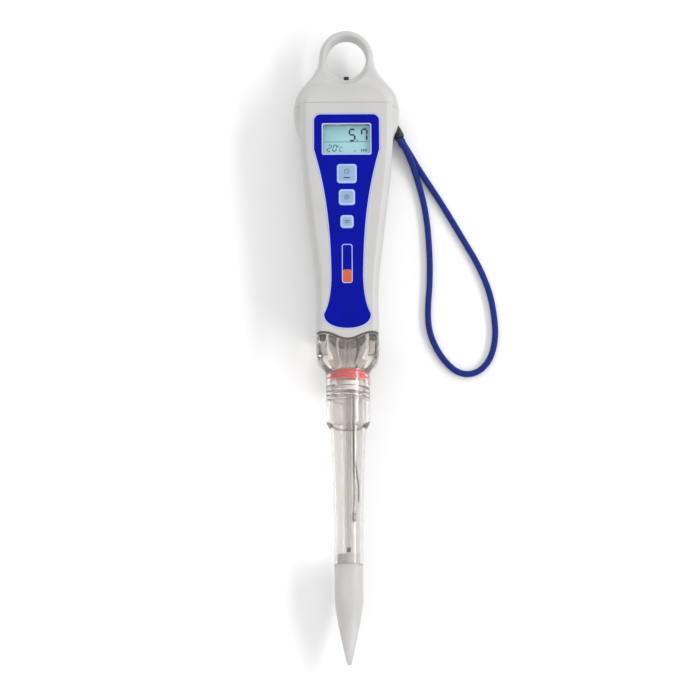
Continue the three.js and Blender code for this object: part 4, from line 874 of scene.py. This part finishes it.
def joined(*meshes):
    """Several bmeshes in one, side by side."""
    whole = bmesh.new()
    for bm in meshes:
        mesh = bpy.data.meshes.new("part")
        bm.to_mesh(mesh)
        bm.free()
        whole.from_mesh(mesh)
        bpy.data.meshes.remove(mesh)
    return whole


def bar_sign(x, y, width, height, low, high):
    return plate(rounded(width, height, min(width, height) * 0.45, x, y, 3), low, high)


for name, key in KEYS.items():
    shoulder = key["flange"] + 1.0
    size, y, top = key["size"], key["y"], key["top"]
    cap = plate(rounded(size - 0.02, size - 0.02, 1.2, 0, y), shoulder - 0.1, top - 0.12, 0.3, 4)
    dish = plate(rounded(size - 1.5, size - 1.5, 0.8, 0, y), top - 0.2, top + 1)
    cap = combine(cap, "DIFFERENCE", dish)
    flange = plate(rounded(size + 1.4, size + 1.4, 1.9, 0, y), shoulder - 0.8, shoulder, 0.12, 2)
    stem = lathe([(0, -1.5), (1.1, -1.5), (1.2, -1.4), (1.2, 0), (0, 0)], 0, 32)
    placed(stem, math.pi / 2, "X", (0, y, key["flange"] + 1.5))
    key_mesh = combine(flange, "UNION", cap, stem)
    body = "key_" + name
    piece(body + "_cap", key_mesh, key_silicone, body)
    face = plate(rounded(size - 1.52, size - 1.52, 0.78, 0, y), top - 0.199, top - 0.17, 0.01, 1)
    piece(body + "_face", face, key_face, body, extra=True)
    low, high = top - 0.169, top - 0.15
    if name == "power":
        signs = [ring_sign(0.8, 0.22, 0, y + 0.9, low, high, 1.1), bar_sign(0, y + 1.6, 0.22, 1.1, low, high),
                 bar_sign(0, y - 1.7, 2.6, 0.5, low, high)]
    elif name == "cal":
        signs = [ring_sign(0.75, 0.22, 0, y, low, high), bar_sign(0, y, 0.6, 0.6, low, high)]
    else:
        signs = [bar_sign(0, y + 0.32, 1.9, 0.32, low, high), bar_sign(0, y - 0.32, 1.9, 0.32, low, high)]
    piece(body + "_sign", joined(*signs), key_ink, body, extra=True)

# %% [markdown]
# Behind the flush window lies the liquid crystal glass. Its dark segments are thin raised tiles: a large
# reading, a rule, and a small temperature. A liquid crystal cell casts a faint shadow, so the tiles sit just
# over the glass.


# %% Display
def lcd_finish():
    # The glass is given a faint glow, which is painted light: its colour also feeds the emission, brighter
    # towards its lower edge, with soft random patches.
    finish = Finish("lcd_glass", (0.33, 0.53, 0.57), 0.35, Specular_IOR_Level=0.2, Emission_Strength=0.2)
    along = finish.node("ShaderNodeSeparateXYZ", None, {0: finish.place}, "Y")
    low, high = box_mm("lcd_glass")
    lower = 1 - finish.ramp(along, low.y * MM, high.y * MM)
    patch = finish.noise(120, 3)
    painted_glow = finish.blend(lower * 0.8 + patch * 0.2, (0.30, 0.55, 0.58), (0.42, 0.70, 0.74))
    finish.feed("Base Color", painted_glow)
    finish.feed("Emission Color", painted_glow)
    finish.feed("Roughness", finish.noise(20000, 1) * 0.15 + 0.2)
    return finish.material


SEGMENTS = {"5": "afgcd", "7": "afbc", "2": "abged", "0": "abcdef", "C": "afed"}


def digit(letter, x, y, width, height, stroke, low, high, lean=0.0):
    """The segments of one character as flat tiles. x, y is its lower left corner."""
    w, h, s, e = width, height, stroke, 0.1
    lines = {
        "a": ((e, h), (w - e, h)), "d": ((e, 0), (w - e, 0)), "g": ((e, h / 2), (w - e, h / 2)),
        "f": ((0, h / 2 + e), (0, h - e)), "b": ((w, h / 2 + e), (w, h - e)),
        "e": ((0, e), (0, h / 2 - e)), "c": ((w, e), (w, h / 2 - e)),
    }
    tiles = []
    for segment in SEGMENTS[letter]:
        p, q = (Vector((*end, 0)) for end in lines[segment])
        way = (q - p).normalized() * s / 2
        side = Vector((-way.y, way.x, 0))
        corners = [p, p + way - side, q - way - side, q, q - way + side, p + way + side]
        tiles.append(plate([(x + c.x + lean * c.y, y + c.y) for c in corners], low, high))
    return tiles


glass_low, glass_high = box_mm("lcd_glass")
glass_outline = rounded(glass_high.x - glass_low.x, glass_high.y - glass_low.y, 0.3, 0, WINDOW_Y)
piece("display_glass", plate(glass_outline, glass_low.z, glass_high.z, 0.15, 2), lcd_finish(), "lcd_glass")
pane = plate(window_hole(LEDGE - 0.03), window_low.z, DEPTH - 0.33, 0.05, 2)
piece("display_pane", pane, clear_window, "display_window")

levels = (glass_high.z + 0.005, glass_high.z + 0.045)
reading, rule, minor = WINDOW_Y - 0.1, WINDOW_Y - 0.6, WINDOW_Y - 4.4
figures = [
    *digit("5", 1.0, reading, 2.1, 4.6, 0.66, *levels, 0.04),
    bar_sign(4.15, reading + 0.05, 0.55, 0.55, *levels),
    *digit("7", 5.8, reading, 2.0, 4.6, 0.66, *levels, 0.04),
    *digit("2", -7.6, minor, 1.25, 2.5, 0.36, *levels, 0.18),
    *digit("0", -5.5, minor, 1.25, 2.5, 0.36, *levels, 0.18),
    *digit("C", -2.8, minor, 0.95, 1.6, 0.32, *levels, 0.12),
    ring_sign(0.18, 0.16, -3.35, minor + 2, *levels),
    bar_sign(0, rule, 17.4, 0.17, *levels),
    bar_sign(3.2, minor + 0.1, 0.9, 0.26, *levels),
    *[bar_sign(5.9 + 0.85 * i, minor + 0.4, 0.42, 1.0, *levels) for i in range(3)],
]
lcd_ink = moulded("lcd_ink", INK, 0.3, 9000, 1e-6, 0.1)
piece("display_figures", joined(*figures), lcd_ink, "lcd_glass", extra=True)

# %% [markdown]
# The cap grows out of the grip's section, thins towards the ring and carries the upper half of the ears.
# Its parts are joined roughly, then remeshed finely and smoothed, which gives the soft fillets of a moulding.
# The seam and the room for the latch are cut last, so that they stay crisp and the latch runs free.

# %% Battery cap
RING_RISE = 21.2
RING_OUT, RING_HOLE, RING_THICK, RING_EDGE = (10.9, 11.8), (7.9, 8.8), 8.4, 2.4
CAP_WALL, POCKET = 2.2, 6.0
cap_low, cap_high = box_mm("battery_cap")
RING_Y = cap_high.y - RING_OUT[1]
CAP_RISE = RING_RISE - RING_HOLE[1] + 1.2
CAP_OVERLAP = 1.5


def cap_station(height, inset):
    """A station of the cap, with its shoulders when it has no inset."""
    t = min(max(height / CAP_RISE, 0), 1)
    width = mix(HEAD_HALF, 0.6 * HEAD_HALF, t**2.6)
    depth = mix(AXIS_Z, RING_THICK / 2 + 0.4, smoothstep(t, 0.02, 1))
    return section(SEAM + height, width, depth, inset, 0.55 * t)


def oval(rx, ry, steps=72):
    turns = [k / steps * math.tau for k in range(steps)]
    return [(rx * math.cos(turn), RING_Y + ry * math.sin(turn)) for turn in turns]


def cap_mesh():
    top = shoulder_line[-1][1] - SEAM - 4
    dome = loft([cap_station(height, 0) for height in spread(-CAP_OVERLAP, top, 26)], 4 * QUARTER)
    half_ring = oval(*RING_OUT)[:19]
    neck = [p for p in shoulder_line if p[1] > RING_Y - 6.5]
    ring_outline = mirrored([(RING_OUT[0] + 0.6, RING_Y - 11), *neck, *half_ring])
    ring = plate(ring_outline, AXIS_Z - RING_THICK / 2, AXIS_Z + RING_THICK / 2, RING_EDGE, 5, True)
    flare = [(0, -16), (2.2, -16)]
    for z in (-1, 1):
        angles = [k / 5 * math.pi / 2 for k in range(6)]
        arc = [(1 - math.cos(a), z * (RING_THICK / 2 - 1.6 + 1.6 * math.sin(a))) for a in angles]
        flare += [(1 + 1.6 * r / RING_HOLE[0], depth) for r, depth in (arc[::-1] if z < 0 else arc)]
    flare += [(2.2, 16), (0, 16)]
    eye = placed(lathe(flare, 0, 72), math.pi / 2, "X", (0, RING_Y, AXIS_Z), (*RING_HOLE, 1))
    hollow = loft([cap_station(height, CAP_WALL) for height in (-3, 0, 2, 4, POCKET)], 4 * QUARTER)
    return combine(combine(dome, "UNION", ring), "DIFFERENCE", eye, hollow)


LATCH = {"width": 2.1, "thick": 3.4, "rise": 2.0, "room": 0.25}


def latch_room():
    """The slot that the latch's tip slides in, and the deeper pocket that its foot travels in."""
    low, high = box_mm("cap_latch")
    room, middle = LATCH["room"], AXIS_Z + LATCH["rise"]
    half, thick = LATCH["width"] / 2 + room, LATCH["thick"] / 2 + room
    slot = block((-half, SEAM + POCKET - 1, middle - thick), (half, RING_Y, middle + thick))
    foot = block((low.x - room, SEAM + 1.5, middle - thick), (high.x + room, SEAM + POCKET - 0.2, high.z + room))
    return slot, foot


def remeshed(bm, voxel, rounds):
    """The same solid in an even fine mesh, with its creases relaxed."""
    made = scratch_object(bm)
    modifier = made.modifiers.new("remesh", "REMESH")
    modifier.mode, modifier.voxel_size = "VOXEL", voxel
    bpy.context.view_layer.update()
    bm = with_modifiers(made)
    for _ in range(rounds):
        bmesh.ops.smooth_vert(bm, verts=bm.verts, factor=0.5, use_axis_x=True, use_axis_y=True, use_axis_z=True)
    return bm


cap = remeshed(cap_mesh(), 0.34, 6)
cap = combine(cap, "DIFFERENCE", block((-40, cap_low.y - 40, -10), (40, cap_low.y, 40)), *latch_room())
piece("cap_moulding", cap, case_plastic, "battery_cap", 50)

# %% [markdown]
# The clear housing is one loft with a real wall: a square skirt under the wavy edge, a taper, and a round
# collar that the probe screws into. Inside it is funnel-shaped.

# %% Clear housing and gasket
housing_low, housing_high = box_mm("probe_housing")
probe_low, probe_high = box_mm("probe_body")
GASKET, SKIRT, TAPER = 0.8, 6.3, 9.0
HEAD_TOP = probe_high.y
COLLAR_R, CHAMFER = 8.5, (1.6, 1.0)
BORE_R = 7.1
HOUSING_WALL = 1.6
COLLAR_TOP = DATUM - SKIRT - TAPER
FIT = 0.15
SEAL_R = 0.62
SEAL_DROPS = (1.1, 3.1)
PROBE_R, HEAD_WALL, TUBE_WALL = 6.95, 2.35, 1.1
BODY_ROOT_R, BODY_END_R, BODY_TAPER = 6.9, 5.6, 45.0
THREAD = {"pitch": 1.7, "turns": 3, "height": 0.42, "drop": 6.6}
COLLAR_END = housing_low.y + CHAMFER[0]
thread_high = HEAD_TOP - THREAD["drop"] + THREAD["pitch"] / 2
thread_low = thread_high - THREAD["pitch"] * (THREAD["turns"] + 1)


def raise_thread(bm, inner, outer):
    """Moves the points between two radii outwards along the helix of the thread."""
    for vert in bm.verts:
        x, z = vert.co.x, vert.co.z - AXIS_Z
        if thread_low < vert.co.y < thread_high and inner < math.hypot(x, z) < outer:
            turn = math.atan2(z, x) / math.tau
            crest = 0.5 + 0.5 * math.cos(math.tau * ((vert.co.y - thread_low) / THREAD["pitch"] - turn))
            fade = smoothstep(vert.co.y, thread_low, thread_low + 0.8)
            fade *= 1 - smoothstep(vert.co.y, thread_high - 0.8, thread_high)
            grow = 1 + THREAD["height"] * crest**3 * fade / PROBE_R
            vert.co.x, vert.co.z = x * grow, AXIS_Z + z * grow
    return bm


def housing_stations():
    end = housing_low.y
    rows = [(end, COLLAR_R - 1.15), (end + 0.1, COLLAR_R - CHAMFER[1])]
    rows += [(end + CHAMFER[0], COLLAR_R - 0.05), (end + 2, COLLAR_R)]
    rows += [(y, COLLAR_R) for y in spread(end + 3, COLLAR_TOP, 8)]
    stations = [section(y, r, r, 0, 1) for y, r in rows]
    for i in range(1, 17):
        t = i / 16
        ease = math.sin(smoothstep(t, 0, 1) * math.pi / 2)
        width, depth = mix(COLLAR_R, NECK_HALF, ease), mix(COLLAR_R, AXIS_Z, ease)
        stations.append(section(COLLAR_TOP + t * TAPER, width, depth, 0, 1 - ease))
    brim = DATUM - GASKET - 0.1
    lap = WALL + FIT
    skirt = [(DATUM - SKIRT + 1, 0), (brim - 2, 0), (brim - 0.3, 0), (brim, 0.2), (brim, lap), (brim + 2, lap)]
    for y, inset in skirt:
        stations.append(section(y, NECK_HALF, AXIS_Z, inset, 0, smoothstep(y, DATUM - SKIRT, brim - 0.5)))
    top = housing_high.y
    for y in (DATUM + 3, DATUM + 6, top):
        stations.append(section(y, case_half(y), AXIS_Z, lap, 0, 1 - smoothstep(y, DATUM, top)))
    inner = lap + HOUSING_WALL
    for y, inset in ((top, inner - 0.3), (top - 0.5, inner), (DATUM + 2, inner)):
        stations.append(section(y, case_half(y), AXIS_Z, inset, 0, 0))
    for i in range(13):
        t = 1 - i / 12
        ease = math.sin(smoothstep(t, 0, 1) * math.pi / 2)
        y = mix(HEAD_TOP + 0.3, DATUM - SKIRT + 2, t)
        width, depth = mix(BORE_R - 1.1, NECK_HALF - inner, ease), mix(BORE_R - 1.1, AXIS_Z - inner, ease)
        stations.append(section(y, width, depth, 0, (1 - ease) ** 0.7))
    bore = [(HEAD_TOP + 0.15, BORE_R - 0.9), (HEAD_TOP + 0.15, BORE_R)]
    bore += [(y, BORE_R) for y in spread(thread_high, thread_low, 44)]
    bore += [(thread_low - 1, BORE_R), (end, BORE_R + 0.15)]
    stations += [section(y, r, r, 0, 1) for y, r in bore]
    return [*stations, stations[0]]


funnel = raise_thread(loft(housing_stations(), 4 * QUARTER, True), BORE_R - 0.02, BORE_R + 0.02)
lets_light_in(piece("clear_funnel", funnel, clear_housing, "probe_housing", 40))

gasket_rows = [(-0.88, 0.3), (-0.5, 0.2), (-0.08, 0.3), (-0.08, WALL), (-0.88, WALL), (-0.88, 0.3)]
gasket_stations = [section(DATUM + rise, NECK_HALF, AXIS_Z, inset, 0, 1) for rise, inset in gasket_rows]
piece("edge_gasket", loft(gasket_stations, 4 * QUARTER, True), seal_rubber, "housing_gasket")

# %% [markdown]
# The probe's clear body is lathed with its wall, with two grooves for the red rings. Its thread is raised by
# moving the points of the head out along a helix. The frosted spear tip is lathed too, with a soft nose.

# %% Probe body
def body_radius(y):
    t = min(max((housing_low.y - y) / BODY_TAPER, 0), 1)
    return mix(BODY_ROOT_R, BODY_END_R, math.sin(t * math.pi / 2) ** 0.9)


def probe_profile():
    bore, groove = PROBE_R - HEAD_WALL, PROBE_R - 2 * SEAL_R - 0.05
    outside = [(bore, HEAD_TOP), (PROBE_R - 0.25, HEAD_TOP), (PROBE_R, HEAD_TOP - 0.25)]
    for drop in SEAL_DROPS:
        y, half = HEAD_TOP - drop, 1.45 * SEAL_R + 0.05
        outside += [(PROBE_R, y + half), (groove, y + half), (groove, y - half), (PROBE_R, y - half)]
    outside += [(PROBE_R, y) for y in spread(thread_high, thread_low, 44)]
    outside += [(PROBE_R, COLLAR_END + 1.5), (BODY_ROOT_R, COLLAR_END + 0.5)]
    outside += [(body_radius(y), y) for y in spread(housing_low.y, probe_low.y, 36)]
    inside = [(body_radius(y) - TUBE_WALL, y) for y in spread(probe_low.y, housing_low.y, 36)]
    shoulder = HEAD_TOP - 8.8
    inside += [(BODY_ROOT_R - TUBE_WALL, shoulder - 1.2), (bore, shoulder)]
    return outside + inside


body = raise_thread(lathe(probe_profile(), AXIS_Z, 4 * QUARTER), PROBE_R - 0.02, PROBE_R + 0.02)
lets_light_in(piece("clear_probe", body, clear_tube, "probe_body", 40))

for drop, node in zip(SEAL_DROPS, ("probe_seal_upper", "probe_seal_lower")):
    ring_r, turns = BORE_R + 0.03 - SEAL_R, [k / 24 * math.tau for k in range(24)]
    circle = [(ring_r + SEAL_R * math.cos(t), HEAD_TOP - drop + 1.45 * SEAL_R * math.sin(t)) for t in turns]
    piece(node + "_ring", lathe(circle, AXIS_Z, 96), red_silicone, node)

# %% Spear tip, stem and wires
tip_low, tip_high = box_mm("spear_tip")
TIP_R, NOSE, STRAIGHT = 5.5, 0.9, 13.0
joint_y = probe_low.y - 0.05
cone = bezier((TIP_R, joint_y - STRAIGHT), (TIP_R - 0.5, mix(joint_y - STRAIGHT, tip_low.y, 0.28)),
              (0.45 * TIP_R, mix(joint_y - STRAIGHT, tip_low.y, 0.7)), (NOSE, tip_low.y + 0.35), 30)
spigot = BODY_END_R - TUBE_WALL - FIT
nose = [(NOSE * 0.72, tip_low.y + 0.08), (NOSE * 0.35, tip_low.y), (0, tip_low.y)]
root = [(0, tip_high.y), (spigot - 0.3, tip_high.y), (spigot, tip_high.y - 0.3), (spigot, joint_y)]
side = [(TIP_R - 0.15, joint_y), (TIP_R, joint_y - 0.15), *[(TIP_R, joint_y - y) for y in (3, 6, 9)]]
piece("frosted_spear", lathe([*root, *side, *cone, *nose], AXIS_Z, 96), frosted_tip, "spear_tip", 40)

stem_low, stem_high = box_mm("inner_stem")
stem = lathe([(0.85, stem_low.y), (1.27, stem_low.y), (1.27, stem_high.y), (0.85, stem_high.y)], AXIS_Z, 48)
lets_light_in(piece("clear_stem", stem, clear_tube, "inner_stem"))

REFERENCE_X = 2.2


def above_axis(x, y, lift):
    return x, y, AXIS_Z + lift


wire_routes = {
    "reference_wire": (0.45, dark_silver, [
        (REFERENCE_X, HEAD_TOP + 2, 0), (REFERENCE_X, DATUM - 30, 0), (REFERENCE_X - 0.05, DATUM - 50, 0.3),
        (REFERENCE_X + 0.2, DATUM - 60, 0.5), (REFERENCE_X, DATUM - 68.5, 0.6)]),
    "thermal_wire": (0.3, dark_silver, [
        (REFERENCE_X, HEAD_TOP + 2, 1.9), (REFERENCE_X, DATUM - 40, 1.9), (REFERENCE_X + 0.2, DATUM - 47, 1.9),
        (3.2, DATUM - 54, 1.2), (3.9, DATUM - 59, 0.6), (3.9, DATUM - 65, 0.4)]),
}
lead_top = box_mm("lead_connector")[0].y - 0.2
for side, node, finish in ((1, "signal_lead", black_plastic), (-1, "reference_lead", white_plastic)):
    wire_routes[node] = (0.55, finish, [
        (side * 2, lead_top, 3.5), (side * 2.2, lead_top - 3, 3.3), (side * 4, DATUM + 2, 2.5),
        (side * 4, DATUM - 6, 1.5), (side * 3.6, HEAD_TOP + 2.5, 1), (side * 3.3, HEAD_TOP - 2, 1)])
for node, (radius, finish, points) in wire_routes.items():
    path = through([above_axis(*point) for point in points], 0.5)
    piece(node + "_tube", tube(path, radius, 14), finish, node)

# %% [markdown]
# What stays hidden keeps its own solid and gets the finish that its record slot asks for.

# %% Finishes of the inner parts
INNER = {
    "seal_rubber": seal_rubber, "white_plastic": white_plastic, "black_plastic": black_plastic, "steel": steel,
    "board_laminate": board_laminate, "cell_can": cell_wrap, "contact_brass": gold, "dark_silver": dark_silver,
    "key_rubber": key_silicone, "red_rubber": red_silicone, "case_plastic": case_painted_shade, "blue_film": film_blue,
    "clear_window": clear_window, "lcd_glass": white_plastic, "clear_housing": clear_housing,
    "clear_tube": clear_tube, "frosted_tip": frosted_tip, "black_cord": black_plastic, "blue_cord": blue_braid,
}
for name, slot in SLOTS.items():
    materials = frame["nodes"][name].data.materials
    materials.clear()
    materials.append(INNER[slot])

# %% [markdown]
# A pale floor and even studio light. One long soft box stands to the right of the pen and draws the bright
# line along its clear collar, and a weaker one fills from the left. Clear pieces cast no shadow.


# %% Floor and lights
def soft_box(name, place, size, power, aim=(0, 0, 0.01)):
    """An area light; the first of its two sizes lies level and the second stands up."""
    light = bpy.data.lights.new(name, "AREA")
    light.shape, light.size, light.size_y, light.energy = "RECTANGLE", size[0], size[1], power
    made = linked(name, light)
    made.location = place
    made.rotation_euler = (Vector(aim) - Vector(place)).to_track_quat("-Z", "Y").to_euler()


floor_bm = bmesh.new()
bmesh.ops.create_grid(floor_bm, x_segments=1, y_segments=1, size=4)
floor_mesh = bpy.data.meshes.new("floor")
floor_bm.to_mesh(floor_mesh)
floor_bm.free()
floor = linked("floor", floor_mesh)
floor.location.z = -0.0002
floor_mesh.materials.append(moulded("floor_paint", (0.93, 0.93, 0.93), 0.8, 900, 1e-6, 0.004))

soft_box("box_right", (0.8, -0.05, 0.62), (1.3, 0.17), 5.4)
soft_box("box_left", (-0.85, -0.1, 0.65), (1.2, 0.5), 0.7)
soft_box("box_head", (0.05, 1.0, 0.7), (1.2, 0.4), 1.6)
world = bpy.data.worlds.new("studio")
world.use_nodes = True
background = world.node_tree.nodes["Background"].inputs
background["Color"].default_value = (1, 1, 1, 1)
background["Strength"].default_value = 0.84
bpy.context.scene.world = world
